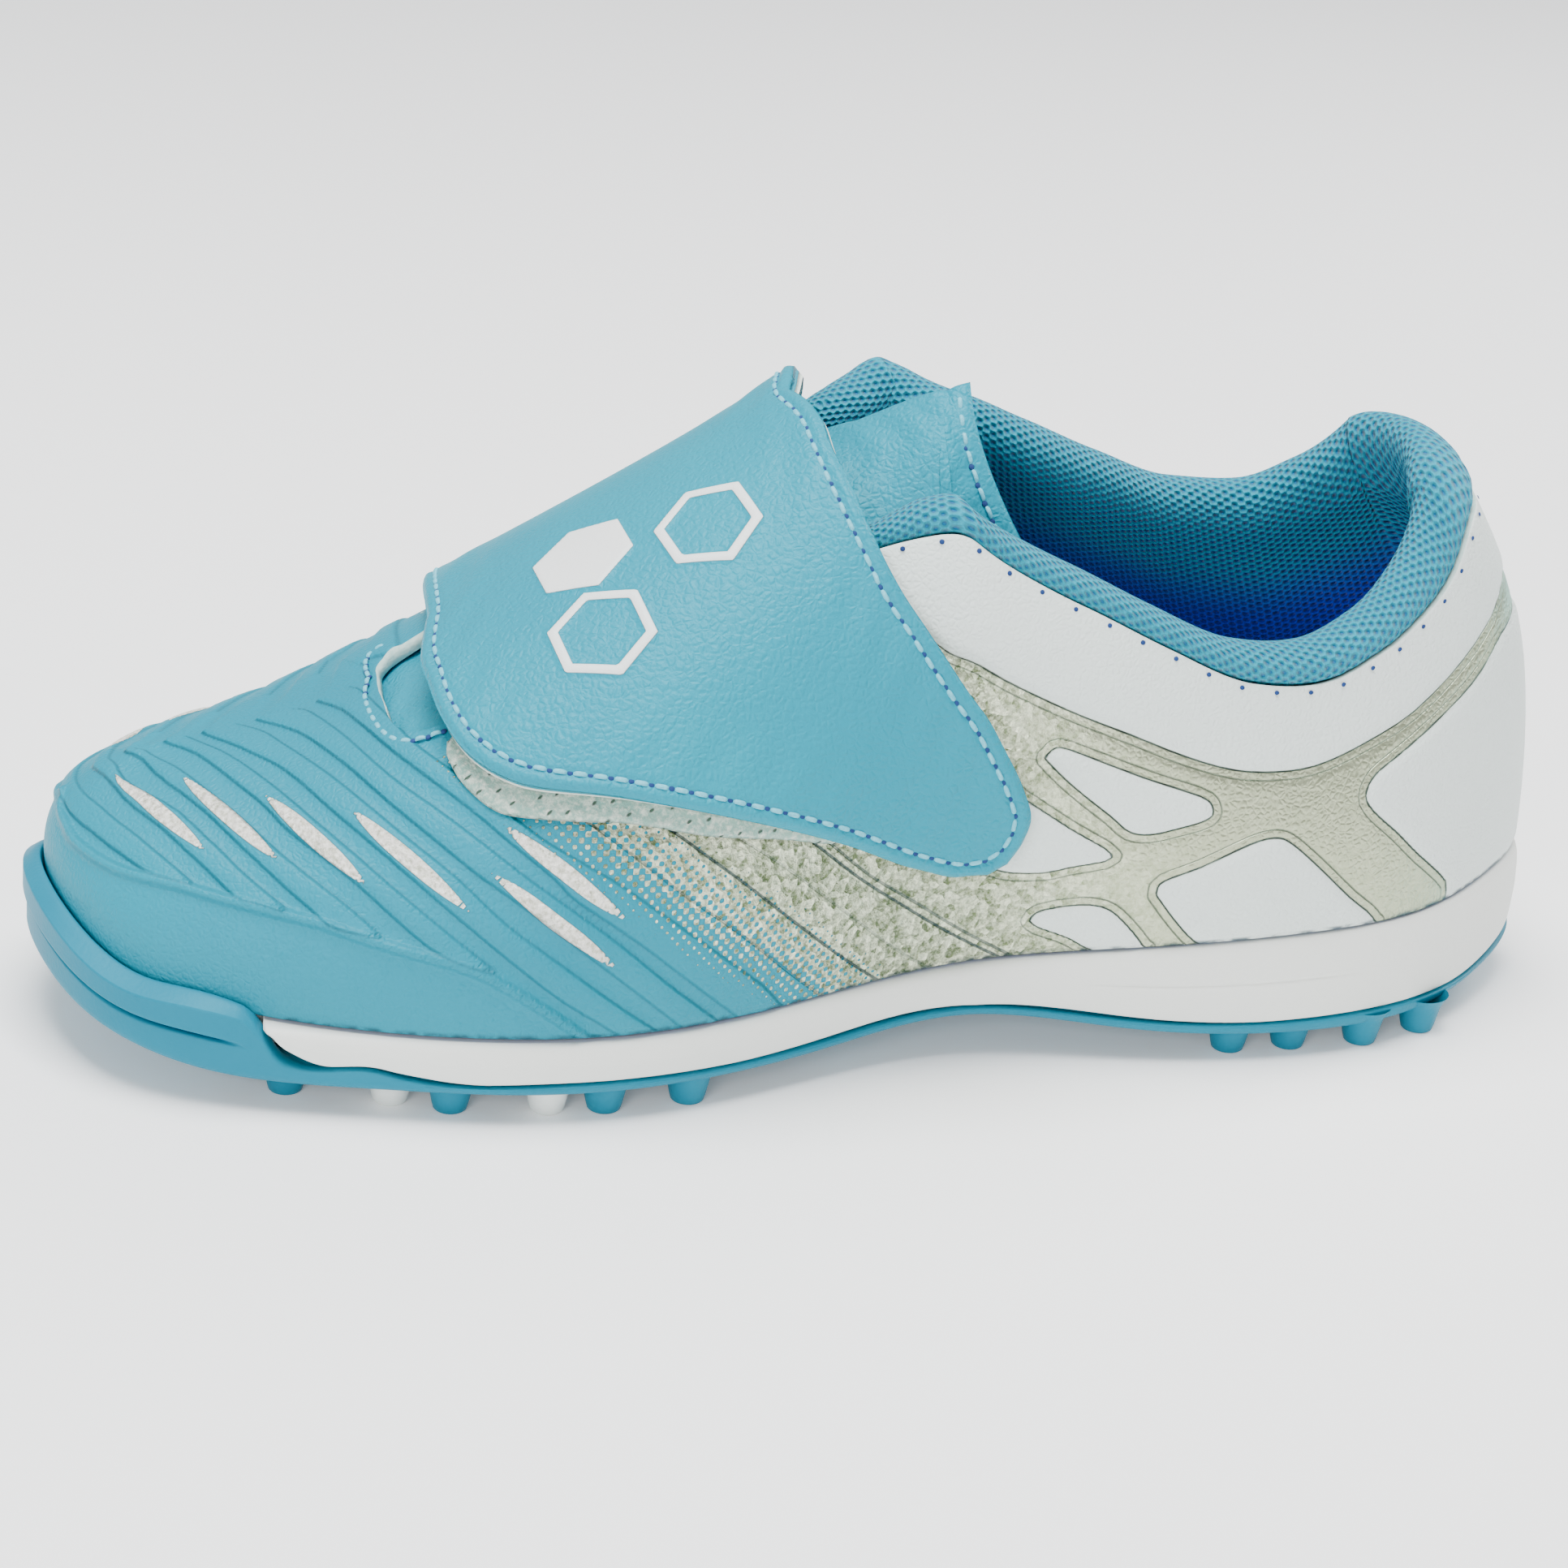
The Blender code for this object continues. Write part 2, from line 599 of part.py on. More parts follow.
COLLAR_TABLE = (
    # rise along the wall, depth inwards, millimetres from the wall's edge
    (0.4, 0.0),
    (2.2, -0.9),
    (4.4, -0.1),
    (5.9, 2.0),
    (5.9, 4.4),
    (4.0, 6.4),
    (0.0, 7.0),
    (-7.0, 5.8),
    (-15.0, 4.6),
    (-23.0, 3.6),
    (-23.0, 2.4),
    (-12.0, 2.4),
    (-1.0, 2.4),
    (0.4, 2.0),
)
COLLAR_FRONT = 6.65
HEEL_ROLL = 0.78
COLLAR = np.array(COLLAR_TABLE) * 0.001
place = CUT[(CUT > COLLAR_FRONT) & (CUT < ROUND - COLLAR_FRONT)]
edge = edge_share(place)
grade = np.linalg.norm(meridian(place, edge + 0.01) - meridian(place, edge - 0.01), axis=-1) / 0.02
fade = np.minimum(place - COLLAR_FRONT, ROUND - COLLAR_FRONT - place)
plump = 0.45 + 0.55 * np.clip(fade / 0.7, 0, 1)
tall = 1 + HEEL_ROLL * smooth(fade, (4.2, 6.2), (0.0, 1.0))
loops = []
for rise, inward in COLLAR:
    roll = np.where(rise > 0.0004, plump, 1.0)
    share = edge + rise * roll * np.where(rise > 0, tall, 1) / grade
    deep = inward * roll if inward < 0 else 0.0023 + (inward - 0.0023) * plump
    deep = np.where(inward > 0.0022, deep, inward * roll)
    loops.append(skin(place, share, -deep))
grid = np.stack(loops, 1)
points = grid.reshape(-1, 3)
faces = []
size = len(COLLAR)
for column in range(len(place) - 1):
    for step in range(size):
        after = (step + 1) % size
        a = column * size
        b = a + size
        faces.append((a + step, a + after, b + after, b + step))
faces.append(tuple(range(size)))
faces.append(tuple(range((len(place) - 1) * size, len(place) * size)))
collar = new_object("collar", points, faces, MESH)

# Strap: wide cover from the medial side over the tongue to its rounded lateral end

STRAP_TABLE = (
    # front station, front across, rear station, rear across, lift
    (4.90, -0.600, 6.90, -0.600, 0.0004),
    (4.70, -0.450, 6.95, -0.420, 0.0008),
    (4.45, -0.250, 7.05, -0.220, 0.0016),
    (4.28, -0.090, 7.05, -0.050, 0.0018),
    (4.17, 0.030, 6.98, 0.093, 0.0018),
    (4.16, 0.120, 6.90, 0.190, 0.0018),
    (4.24, 0.215, 6.93, 0.290, 0.0018),
    (4.34, 0.315, 7.02, 0.375, 0.0018),
    (4.50, 0.415, 7.15, 0.440, 0.0018),
    (4.79, 0.506, 7.38, 0.510, 0.0018),
    (5.37, 0.584, 7.68, 0.579, 0.0018),
    (6.10, 0.672, 7.98, 0.630, 0.0018),
    (6.80, 0.745, 8.22, 0.694, 0.0018),
    (7.35, 0.800, 8.285, 0.735, 0.0018),
    (7.72, 0.822, 8.22, 0.772, 0.0018),
    (7.95, 0.822, 8.10, 0.806, 0.0018),
)
STRAP_ROWS = 28
STRAP_COLUMNS = 9
STRAP_LINE = np.array(STRAP_TABLE)
knots = np.arange(len(STRAP_LINE))
spot = np.linspace(0, len(STRAP_LINE) - 1, STRAP_ROWS)[:, None]
span = np.linspace(0, 1, STRAP_COLUMNS)[None, :]
front = smooth(spot, knots, STRAP_LINE[:, 0])
front_across = smooth(spot, knots, STRAP_LINE[:, 1])
rear = smooth(spot, knots, STRAP_LINE[:, 2])
rear_across = smooth(spot, knots, STRAP_LINE[:, 3])
lift = smooth(spot, knots, STRAP_LINE[:, 4]) + 0 * span
station = front + (rear - front) * span
across = front_across + (rear_across - front_across) * span
under = across_skin(station, across, lift)
over = across_skin(station, across, lift + STRAP_THICK)
strap = sheet_solid("strap", over, under, STRAP)

# Loop patch: fabric panel on the lateral side that the strap closes on

PATCH_TABLE = (
    # station, across at the upper edge, across at the lower edge
    (4.33, 0.345, 0.375),
    (4.40, 0.335, 0.430),
    (4.52, 0.335, 0.490),
    (4.68, 0.345, 0.542),
    (5.07, 0.360, 0.593),
    (5.39, 0.380, 0.624),
    (5.95, 0.420, 0.688),
    (6.40, 0.460, 0.722),
    (6.83, 0.500, 0.752),
    (7.00, 0.540, 0.720),
)
PATCH_ROWS = 13
PATCH_COLUMNS = 6
PATCH_LINE = np.array(PATCH_TABLE)
knots = np.arange(len(PATCH_LINE))
spot = np.linspace(0, len(PATCH_LINE) - 1, PATCH_ROWS)[:, None]
span = np.linspace(0, 1, PATCH_COLUMNS)[None, :]
station = smooth(spot, knots, PATCH_LINE[:, 0]) + 0 * span
high = smooth(spot, knots, PATCH_LINE[:, 1])
across = high + (smooth(spot, knots, PATCH_LINE[:, 2]) - high) * span
under = across_skin(station, across, PATCH_LIFT + 0 * station)
over = across_skin(station, across, PATCH_LIFT + PATCH_THICK + 0 * station)
patch = sheet_solid("loop_patch", over, under, LOOP)
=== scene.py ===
"""Dressed left turf shoe on a pale floor, seen from its outer side."""

import bmesh
import bpy
import numpy as np
from mathutils import Matrix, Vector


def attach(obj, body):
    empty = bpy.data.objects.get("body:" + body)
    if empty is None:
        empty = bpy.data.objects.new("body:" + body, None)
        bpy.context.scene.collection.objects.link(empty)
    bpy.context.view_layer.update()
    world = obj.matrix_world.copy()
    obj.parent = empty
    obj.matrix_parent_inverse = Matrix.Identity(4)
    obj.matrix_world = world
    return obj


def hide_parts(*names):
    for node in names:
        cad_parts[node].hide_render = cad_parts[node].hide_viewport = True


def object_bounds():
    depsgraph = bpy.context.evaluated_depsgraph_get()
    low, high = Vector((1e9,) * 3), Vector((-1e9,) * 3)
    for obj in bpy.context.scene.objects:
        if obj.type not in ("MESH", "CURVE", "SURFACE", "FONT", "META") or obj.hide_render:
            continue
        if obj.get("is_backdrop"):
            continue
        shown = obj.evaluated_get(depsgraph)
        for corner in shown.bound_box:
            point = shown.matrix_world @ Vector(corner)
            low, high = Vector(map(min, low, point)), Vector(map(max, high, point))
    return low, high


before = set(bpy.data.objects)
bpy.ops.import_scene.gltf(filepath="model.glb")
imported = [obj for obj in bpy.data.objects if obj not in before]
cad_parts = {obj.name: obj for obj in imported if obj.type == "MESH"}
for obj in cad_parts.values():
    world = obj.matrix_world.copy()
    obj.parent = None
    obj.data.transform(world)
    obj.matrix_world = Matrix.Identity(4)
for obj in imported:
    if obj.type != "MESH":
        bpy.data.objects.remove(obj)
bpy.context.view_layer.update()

# Camera and studio
# A long lens looks down on the outer side, a little rolled, from half a metre away.
# The floor is pale board, lit by one broad soft lamp above, one in front and a pale room.

TURN = np.radians(17.5)
RISE = np.radians(21.5)
ROLL = np.radians(4.6)
AIM = np.array((0.0047, 0.0019, 0.02975))
DISTANCE = 0.52143
LENS_MM = 90.224

toward = np.array((np.sin(TURN) * np.cos(RISE), np.cos(TURN) * np.cos(RISE), np.sin(RISE)))
side = np.cross(-toward, (0, 0, 1))
side = side / np.linalg.norm(side)
rise = np.cross(side, -toward)
rolled = side * np.cos(ROLL) + rise * np.sin(ROLL)
upright = rise * np.cos(ROLL) - side * np.sin(ROLL)
eye = AIM + toward * DISTANCE
lens = bpy.data.cameras.new("camera")
lens.lens = LENS_MM
lens.sensor_width = 36
lens.clip_start = 0.01
lens.clip_end = 50
camera = bpy.data.objects.new("camera", lens)
bpy.context.scene.collection.objects.link(camera)
camera.matrix_world = Matrix((
    (rolled[0], upright[0], toward[0], eye[0]),
    (rolled[1], upright[1], toward[1], eye[1]),
    (rolled[2], upright[2], toward[2], eye[2]),
    (0, 0, 0, 1),
))
bpy.context.scene.camera = camera


def lamp(name, place, aim, size, power, colour=(1.0, 1.0, 1.0)):
    """Square area lamp at a place, turned so that it faces its aim."""
    data = bpy.data.lights.new(name, "AREA")
    data.shape = "RECTANGLE"
    data.size = size[0]
    data.size_y = size[1]
    data.energy = power
    data.color = colour
    thing = bpy.data.objects.new(name, data)
    bpy.context.scene.collection.objects.link(thing)
    back = np.array(place, float) - np.array(aim, float)
    back = back / np.linalg.norm(back)
    across = np.cross((0.0, 0.02, 1.0), back)
    across = across / np.linalg.norm(across)
    upward = np.cross(back, across)
    thing.matrix_world = Matrix((
        (across[0], upward[0], back[0], place[0]),
        (across[1], upward[1], back[1], place[1]),
        (across[2], upward[2], back[2], place[2]),
        (0, 0, 0, 1),
    ))


lamp("lamp_above", (0.10, 0.05, 0.95), (0, 0, 0.03), (0.7, 0.5), 19.0)
lamp("lamp_front", (0.55, 0.85, 0.40), (0, 0, 0.03), (0.35, 0.35), 6.0)
lamp("lamp_back", (-0.75, -0.35, 0.50), (0, 0, 0.04), (0.3, 0.4), 4.5)
world = bpy.data.worlds.new("room")
world.use_nodes = True
world.node_tree.nodes["Background"].inputs["Color"].default_value = (0.95, 0.97, 1.0, 1.0)
world.node_tree.nodes["Background"].inputs["Strength"].default_value = 0.66
bpy.context.scene.world = world


def node(tree, kind, inputs=(), **settings):
    """One shader node; inputs maps a socket's name or number to a value or to an output."""
    made = tree.nodes.new(kind)
    for key, value in settings.items():
        setattr(made, key, value)
    for key, value in dict(inputs).items():
        if isinstance(value, bpy.types.NodeSocket):
            tree.links.new(value, made.inputs[key])
        else:
            made.inputs[key].default_value = value
    return made


def calc(tree, operation, first, second=0.0, third=0.0, clamp=False):
    """Output of one Math node."""
    made = node(tree, "ShaderNodeMath", {0: first, 1: second, 2: third}, operation=operation, use_clamp=clamp)
    return made.outputs[0]


def blend_colour(tree, share, first, second):
    """Colour between two colours by a share from nought to one."""
    made = node(tree, "ShaderNodeMix", {0: share, 6: first, 7: second}, data_type="RGBA")
    return made.outputs[2]


def ramp(tree, value, low, high):
    """Smooth step of a value between two limits, nought to one."""
    made = node(tree, "ShaderNodeMapRange", {0: value, 1: low, 2: high, 3: 0.0, 4: 1.0},
                interpolation_type="SMOOTHSTEP")
    return made.outputs[0]


def new_material(name):
    """Empty node material, its tree, its Principled shader and the piece's own coordinates."""
    made = bpy.data.materials.new(name)
    made.use_nodes = True
    tree = made.node_tree
    return made, tree, tree.nodes["Principled BSDF"], node(tree, "ShaderNodeTexCoord").outputs["Object"]


def noise(tree, vector, scale, detail=2.0, rough=0.5):
    """Factor of a Noise Texture, nought to one."""
    made = node(tree, "ShaderNodeTexNoise", {"Vector": vector, "Scale": scale, "Detail": detail,
                                             "Roughness": rough})
    return made.outputs[0]


def tint(tree, shader, share, first, second):
    """Base colour between two colours by a share."""
    tree.links.new(blend_colour(tree, share, first, second), shader.inputs["Base Color"])


def emboss(tree, shader, height, strength, distance):
    """Bump of a height map on the finish."""
    bump = node(tree, "ShaderNodeBump", {"Height": height, "Strength": strength, "Distance": distance})
    tree.links.new(bump.outputs[0], shader.inputs["Normal"])


FLOOR, tree, shader, spot = new_material("pale_board")
speck = node(tree, "ShaderNodeTexNoise", {"Vector": spot, "Scale": 220.0, "Detail": 3.0})
tint(tree, shader, speck.outputs[0], (0.94, 0.95, 0.95, 1), (0.97, 0.97, 0.97, 1))
shader.inputs["Roughness"].default_value = 0.7
shader.inputs["Emission Color"].default_value = (1.0, 1.0, 1.0, 1.0)
shader.inputs["Emission Strength"].default_value = 0.15
sheet = bpy.data.meshes.new("floor")
sheet.from_pydata([(-4, -4, 0), (4, -4, 0), (4, 4, 0), (-4, 4, 0)], [], [(0, 1, 2, 3)])
floor = bpy.data.objects.new("floor", sheet)
bpy.context.scene.collection.objects.link(floor)
sheet.materials.append(FLOOR)
floor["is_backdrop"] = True

# Outsole
# One moulding of blue rubber: a thin plate under the foam, turned up round the toe as a
# grooved bumper, with cone studs in rows. It is cemented to the foam and the upper.

LENGTH = 0.2066
BALL_WIDTH = 0.0785
INSTEP_HEIGHT = 0.0800
HEEL_HEIGHT = 0.0195
MIDDLE = np.array((0.1033, -0.0019))
GAP = 0.0003
FEATHER_INSET = 0.0012
BUMPER_WALL = 0.0030
RIM_WALL = 0.0016
PLATE_THICK = 0.0024
BUMPER_LIP = 0.0012
SHOULDER = 0.0045
EDGE_ROUND = 0.0014
STUD_HEIGHT = 0.0040
STUD_TIP = 0.0021
SOLE_TABLE = (
    # along_lat, lateral, along_med, medial, base, split, feather
    (1.0000, -0.070, 1.0000, -0.070, 0.560, 1.070, 0.820),
    (0.9850, 0.134, 0.9785, -0.260, 0.440, 0.925, 0.770),
    (0.9490, 0.274, 0.9345, -0.395, 0.320, 0.770, 0.700),
    (0.8910, 0.358, 0.8765, -0.472, 0.220, 0.700, 0.625),
    (0.8090, 0.424, 0.7990, -0.516, 0.205, 0.330, 0.585),
    (0.7165, 0.475, 0.7070, -0.522, 0.205, 0.275, 0.580),
    (0.6200, 0.455, 0.6100, -0.465, 0.205, 0.275, 0.580),
    (0.5230, 0.372, 0.5130, -0.357, 0.225, 0.295, 0.615),
    (0.4260, 0.325, 0.4210, -0.287, 0.320, 0.385, 0.710),
    (0.3245, 0.366, 0.3245, -0.312, 0.235, 0.305, 0.825),
    (0.2230, 0.390, 0.2230, -0.363, 0.190, 0.275, 0.915),
    (0.1260, 0.340, 0.1260, -0.332, 0.190, 0.290, 0.945),
    (0.0470, 0.196, 0.0470, -0.194, 0.240, 0.300, 0.985),
    (0.0000, 0.005, 0.0000, 0.005, 0.310, 0.390, 1.000),
)
CREST_TABLE = (
    # along, across, height, low_reach, low_rise, high_reach, high_drop
    (0.9150, -0.090, 0.446, 0.052, 0.145, 0.130, 0.000),
    (0.9060, -0.090, 0.450, 0.046, 0.145, 0.165, 0.000),
    (0.8750, -0.085, 0.470, 0.040, 0.165, 0.225, 0.000),
    (0.8220, -0.070, 0.514, 0.034, 0.200, 0.275, 0.000),
    (0.7600, -0.055, 0.601, 0.034, 0.260, 0.310, 0.000),
    (0.6850, -0.045, 0.720, 0.036, 0.300, 0.330, 0.000),
    (0.6050, -0.045, 0.850, 0.040, 0.325, 0.345, 0.000),
    (0.5250, -0.060, 0.990, 0.058, 0.330, 0.370, 0.000),
    (0.4550, -0.070, 1.130, 0.085, 0.310, 0.430, 0.010),
    (0.3900, -0.030, 1.250, 0.065, 0.270, 0.390, 0.290),
    (0.3150, 0.000, 1.290, 0.045, 0.240, 0.350, 0.450),
    (0.2600, 0.000, 1.280, 0.020, 0.280, 0.360, 0.400),
    (0.2250, 0.000, 1.262, 0.006, 0.330, 0.435, 0.360),
    (0.2150, 0.000, 1.262, -0.006, 0.345, 0.475, 0.350),
)
STUD_TABLE = (
    # along, across in ball widths, 1 where the stud is white
    (0.893, -0.330, 0), (0.893, -0.100, 0), (0.893, 0.110, 0), (0.858, 0.285, 0), (0.850, -0.400, 0),
    (0.850, -0.190, 0), (0.850, 0.020, 0), (0.798, 0.345, 1), (0.805, -0.440, 1), (0.803, -0.240, 0),
    (0.800, -0.040, 0), (0.800, 0.160, 0), (0.764, 0.385, 0), (0.752, -0.455, 0), (0.752, -0.260, 0),
    (0.750, -0.060, 0), (0.750, 0.150, 0), (0.706, 0.408, 1), (0.700, -0.450, 1), (0.700, -0.250, 0),
    (0.700, -0.050, 0), (0.700, 0.170, 0), (0.671, 0.415, 0), (0.645, -0.410, 0), (0.645, -0.210, 0),
    (0.645, -0.010, 0), (0.640, 0.190, 0), (0.617, 0.400, 0), (0.248, 0.325, 0), (0.262, -0.270, 0),
    (0.250, 0.090, 0), (0.250, -0.110, 0), (0.206, 0.325, 0), (0.205, -0.300, 0), (0.190, 0.090, 0),
    (0.190, -0.110, 0), (0.155, 0.325, 0), (0.150, -0.290, 0), (0.125, 0.080, 0), (0.125, -0.110, 0),
    (0.108, 0.290, 0), (0.098, -0.230, 0), (0.066, -0.070, 0), (0.066, 0.110, 0),
)
STATIONS = len(SOLE_TABLE) - 1
ROUND = 2 * STATIONS


def ring_spline(rows, where):
    """Cubic with even curvature through rows that close on themselves; where counts in rows."""
    count = len(rows)
    unit = np.eye(count)
    system = 4 * unit + np.roll(unit, 1, 0) + np.roll(unit, -1, 0)
    bend = 6 * (np.roll(rows, -1, 0) - 2 * rows + np.roll(rows, 1, 0))
    curve = np.linalg.solve(system, bend)
    where = np.asarray(where, float) % count
    low = np.floor(where).astype(int) % count
    high = (low + 1) % count
    t = (where - np.floor(where))[..., None]
    s = 1 - t
    line = s * rows[low] + t * rows[high]
    return line + ((s ** 3 - s) * curve[low] + (t ** 3 - t) * curve[high]) / 6


def around(lateral, medial):
    """Rows of both sides in one ring: toe tip, lateral side, heel, medial side."""
    return np.vstack((lateral, medial[-2:0:-1]))


def smooth(values, knots, rows):
    """Cubic through a short table that never overshoots it, flat beyond both ends."""
    knots = np.asarray(knots, float)
    rows = np.asarray(rows, float)
    step = np.diff(knots)
    slope = np.diff(rows) / step
    lead = slope[:-1]
    tail = slope[1:]
    same = lead * tail > 0
    mean = np.where(same, 2 * lead * tail / np.where(same, lead + tail, 1), 0)
    grade = np.concatenate(([0 if len(slope) < 2 else slope[0]], mean, [slope[-1]]))
    values = np.clip(values, knots[0], knots[-1])
    cell = np.clip(np.searchsorted(knots, values, side="right") - 1, 0, len(step) - 1)
    width = step[cell]
    t = (values - knots[cell]) / width
    start = rows[cell] * (1 + 2 * t) * (1 - t) ** 2 + grade[cell] * width * t * (1 - t) ** 2
    end = rows[cell + 1] * t * t * (3 - 2 * t) + grade[cell + 1] * width * t * t * (t - 1)
    return start + end


SOLE = np.array(SOLE_TABLE)
CREST = np.array(CREST_TABLE)
OUTLINE_KNOTS = around(SOLE[:, 0:2], SOLE[:, 2:4]) * (LENGTH, BALL_WIDTH) - MIDDLE
HEIGHT_KNOTS = around(SOLE[:, 4:7], SOLE[:, 4:7]) * HEEL_HEIGHT
CREST_SCALE = (LENGTH, BALL_WIDTH, INSTEP_HEIGHT, BALL_WIDTH, INSTEP_HEIGHT, BALL_WIDTH, INSTEP_HEIGHT)
CREST_KNOTS = around(CREST, CREST) * CREST_SCALE
CREST_KNOTS[:, :2] -= MIDDLE


def outline(where, inset=0.0):
    """Plan outline of the sole, moved inwards along its own normal by inset."""
    where = np.asarray(where, float)
    here = ring_spline(OUTLINE_KNOTS, where)
    run = ring_spline(OUTLINE_KNOTS, where + 0.02) - ring_spline(OUTLINE_KNOTS, where - 0.02)
    run = run / np.linalg.norm(run, axis=-1, keepdims=True)
    out = np.stack((run[..., 1], -run[..., 0]), -1)
    return here - out * np.asarray(inset)[..., None], out


def fold(where):
    """Station counted from the toe tip on either side."""
    ring = np.asarray(where, float) % ROUND
    return np.minimum(ring, ROUND - ring)


def shoulder(where):
    """How far the end of the toe wrap drops below the smooth run of the table."""
    past = fold(where) - 3
    drop = np.clip(past * 3, 0, 1)
    back = np.clip((past * 3 - 1) / 2, 0, 1)
    return SHOULDER * drop * drop * (3 - 2 * drop) * (1 - back * back * (3 - 2 * back))


def heights(where):
    """Base, split and feather height of the sole at each place round it."""
    level = ring_spline(HEIGHT_KNOTS, where)
    return level[..., 0], level[..., 1] - shoulder(where), level[..., 2]


def foot_inset(where):
    """How far the upper's foot stands in from the outline of the sole."""
    share = np.clip((4.4 - fold(where)) / 2.2, 0, 1)
    share = share * share * (3 - 2 * share)
    return FEATHER_INSET + (BUMPER_WALL + GAP - FEATHER_INSET) * share


def meridian(where, share):
    """Closed form of the foot: a cubic from the feather edge to the crest."""
    where = np.asarray(where, float)
    share = np.asarray(share, float)[..., None]
    foot, out = outline(where, foot_inset(where))
    level = heights(where)[2]
    crest = ring_spline(CREST_KNOTS, where)
    place = np.clip(fold(where), 0.6, STATIONS - 0.8)
    ahead = ring_spline(CREST_KNOTS, place - 0.3)
    behind = ring_spline(CREST_KNOTS, place + 0.3)
    slope = (ahead[..., 2] - behind[..., 2]) / (ahead[..., 0] - behind[..., 0])
    p0 = np.concatenate((foot, level[..., None]), -1)
    p1 = p0.copy()
    p1[..., :2] += out * crest[..., 3:4]
    p1[..., 2] += crest[..., 4]
    p3 = crest[..., :3]
    p2 = p3.copy()
    p2[..., :2] += out * crest[..., 5:6]
    p2[..., 2] += out[..., 0] * slope * crest[..., 5] - crest[..., 6]
    rest = 1 - share
    body = rest ** 3 * p0 + 3 * rest ** 2 * share * p1
    return body + 3 * rest * share ** 2 * p2 + share ** 3 * p3


def outward(where, share):
    """Unit normal of the closed form: its step round the foot crossed with its step upwards."""
    near = np.minimum(share, 0.985)
    along = meridian(where + 0.02, near) - meridian(where - 0.02, near)
    step = meridian(where, np.clip(share + 0.02, 0, 1)) - meridian(where, np.clip(share - 0.02, 0, 1))
    normal = np.cross(along, step)
    return normal / np.maximum(np.linalg.norm(normal, axis=-1, keepdims=True), 1e-12)


def skin(where, share, lift=0.0):
    """Point on the closed form, moved outwards by lift; both sides agree at the crest."""
    where, share = np.broadcast_arrays(np.asarray(where, float), np.asarray(share, float))
    normal = outward(where, share)
    twin = normal + outward(ROUND - where, share)
    twin = twin / np.linalg.norm(twin, axis=-1, keepdims=True)
    normal = np.where((share > 0.9995)[..., None], twin, normal)
    lift = np.broadcast_to(np.asarray(lift, float), share.shape)
    return meridian(where, share) + normal * lift[..., None]


def level_ring(where, inset, height):
    """Ring of the sole at an inset from its outline and a height."""
    flat = outline(where, inset)[0]
    height = np.broadcast_to(height, flat.shape[:-1])
    return np.concatenate((flat, height[..., None]), -1)


def soften(rings, rounds=2):
    """Stack of rings with each corner between them cut off twice, so that its edges are round."""
    stack = np.asarray(rings)
    for _ in range(rounds):
        near = stack[:-1] * 0.75 + stack[1:] * 0.25
        far = stack[:-1] * 0.25 + stack[1:] * 0.75
        middle = np.stack((near, far), 1).reshape(-1, *stack.shape[1:])
        stack = np.concatenate((stack[:1], middle, stack[-1:]))
    return stack


def band_faces(rows, columns, start=0, wrap=False):
    """Quads between neighbouring rows of a grid laid out row by row."""
    last = columns if wrap else columns - 1
    column = np.arange(last)
    after = (column + 1) % columns
    base = start + np.arange(rows - 1)[:, None] * columns
    quads = np.stack((base + column, base + after, base + columns + after, base + columns + column), -1)
    return quads.reshape(-1, 4).tolist()


def cap(ring, rungs, first, start):
    """Points and faces that close a ring with rungs from its lateral to its medial side."""
    count = len(ring)
    half = count // 2
    share = (np.arange(1, rungs) / rungs)[None, :, None]
    left = ring[1:half, None]
    right = ring[count - 1:half:-1, None]
    inner = (left + (right - left) * share).reshape(-1, 3)
    step = np.arange(half - 1)[:, None]
    table = np.concatenate((first + 1 + step, start + step * (rungs - 1) + np.arange(rungs - 1)[None, :],
                            first + count - 1 - step), 1)
    quads = np.stack((table[:-1, :-1], table[1:, :-1], table[1:, 1:], table[:-1, 1:]), -1).reshape(-1, 4)
    faces = quads.tolist()
    faces.append([first] + table[0].tolist())
    faces.append([first + half] + table[-1][::-1].tolist())
    return inner, faces


def place_mesh(name, points, faces, materials, weld=False, values=(), choice=None):
    """Smooth-shaded piece from points and faces, with its volume made positive."""
    mesh = bpy.data.meshes.new(name)
    mesh.from_pydata(np.asarray(points).tolist(), [], faces)
    for label, value in dict(values).items():
        value = np.ascontiguousarray(value, float)
        if value.ndim == 2:
            mesh.attributes.new(label, "FLOAT_VECTOR", "POINT").data.foreach_set("vector", value.ravel())
        else:
            mesh.attributes.new(label, "FLOAT", "POINT").data.foreach_set("value", value.ravel())
    for material in materials:
        mesh.materials.append(material)
    if choice is not None:
        mesh.polygons.foreach_set("material_index", np.asarray(choice, int))
    work = bmesh.new()
    work.from_mesh(mesh)
    if weld:
        bmesh.ops.remove_doubles(work, verts=work.verts, dist=4e-6)
        bmesh.ops.dissolve_degenerate(work, edges=work.edges, dist=1e-6)
    if work.calc_volume(signed=True) < 0:
        bmesh.ops.reverse_faces(work, faces=work.faces)
    for loose in [v for v in work.verts if not v.link_faces]:
        work.verts.remove(loose)
    work.to_mesh(mesh)
    work.free()
    mesh.polygons.foreach_set("use_smooth", np.ones(len(mesh.polygons), bool))
    thing = bpy.data.objects.new(name, mesh)
    bpy.context.scene.collection.objects.link(thing)
    return thing


RUNGS = 10


def ring_solid(name, stack, material, rungs=RUNGS, values=()):
    """Piece from a stack of rings, both ends closed with rungs across."""
    rows, count = stack.shape[:2]
    low, low_faces = cap(stack[0], rungs, 0, rows * count)
    high, high_faces = cap(stack[-1], rungs, (rows - 1) * count, rows * count + len(low))
    points = np.concatenate((stack.reshape(-1, 3), low, high))
    faces = band_faces(rows, count, 0, True) + low_faces + high_faces
    return place_mesh(name, points, faces, [material], values=values)


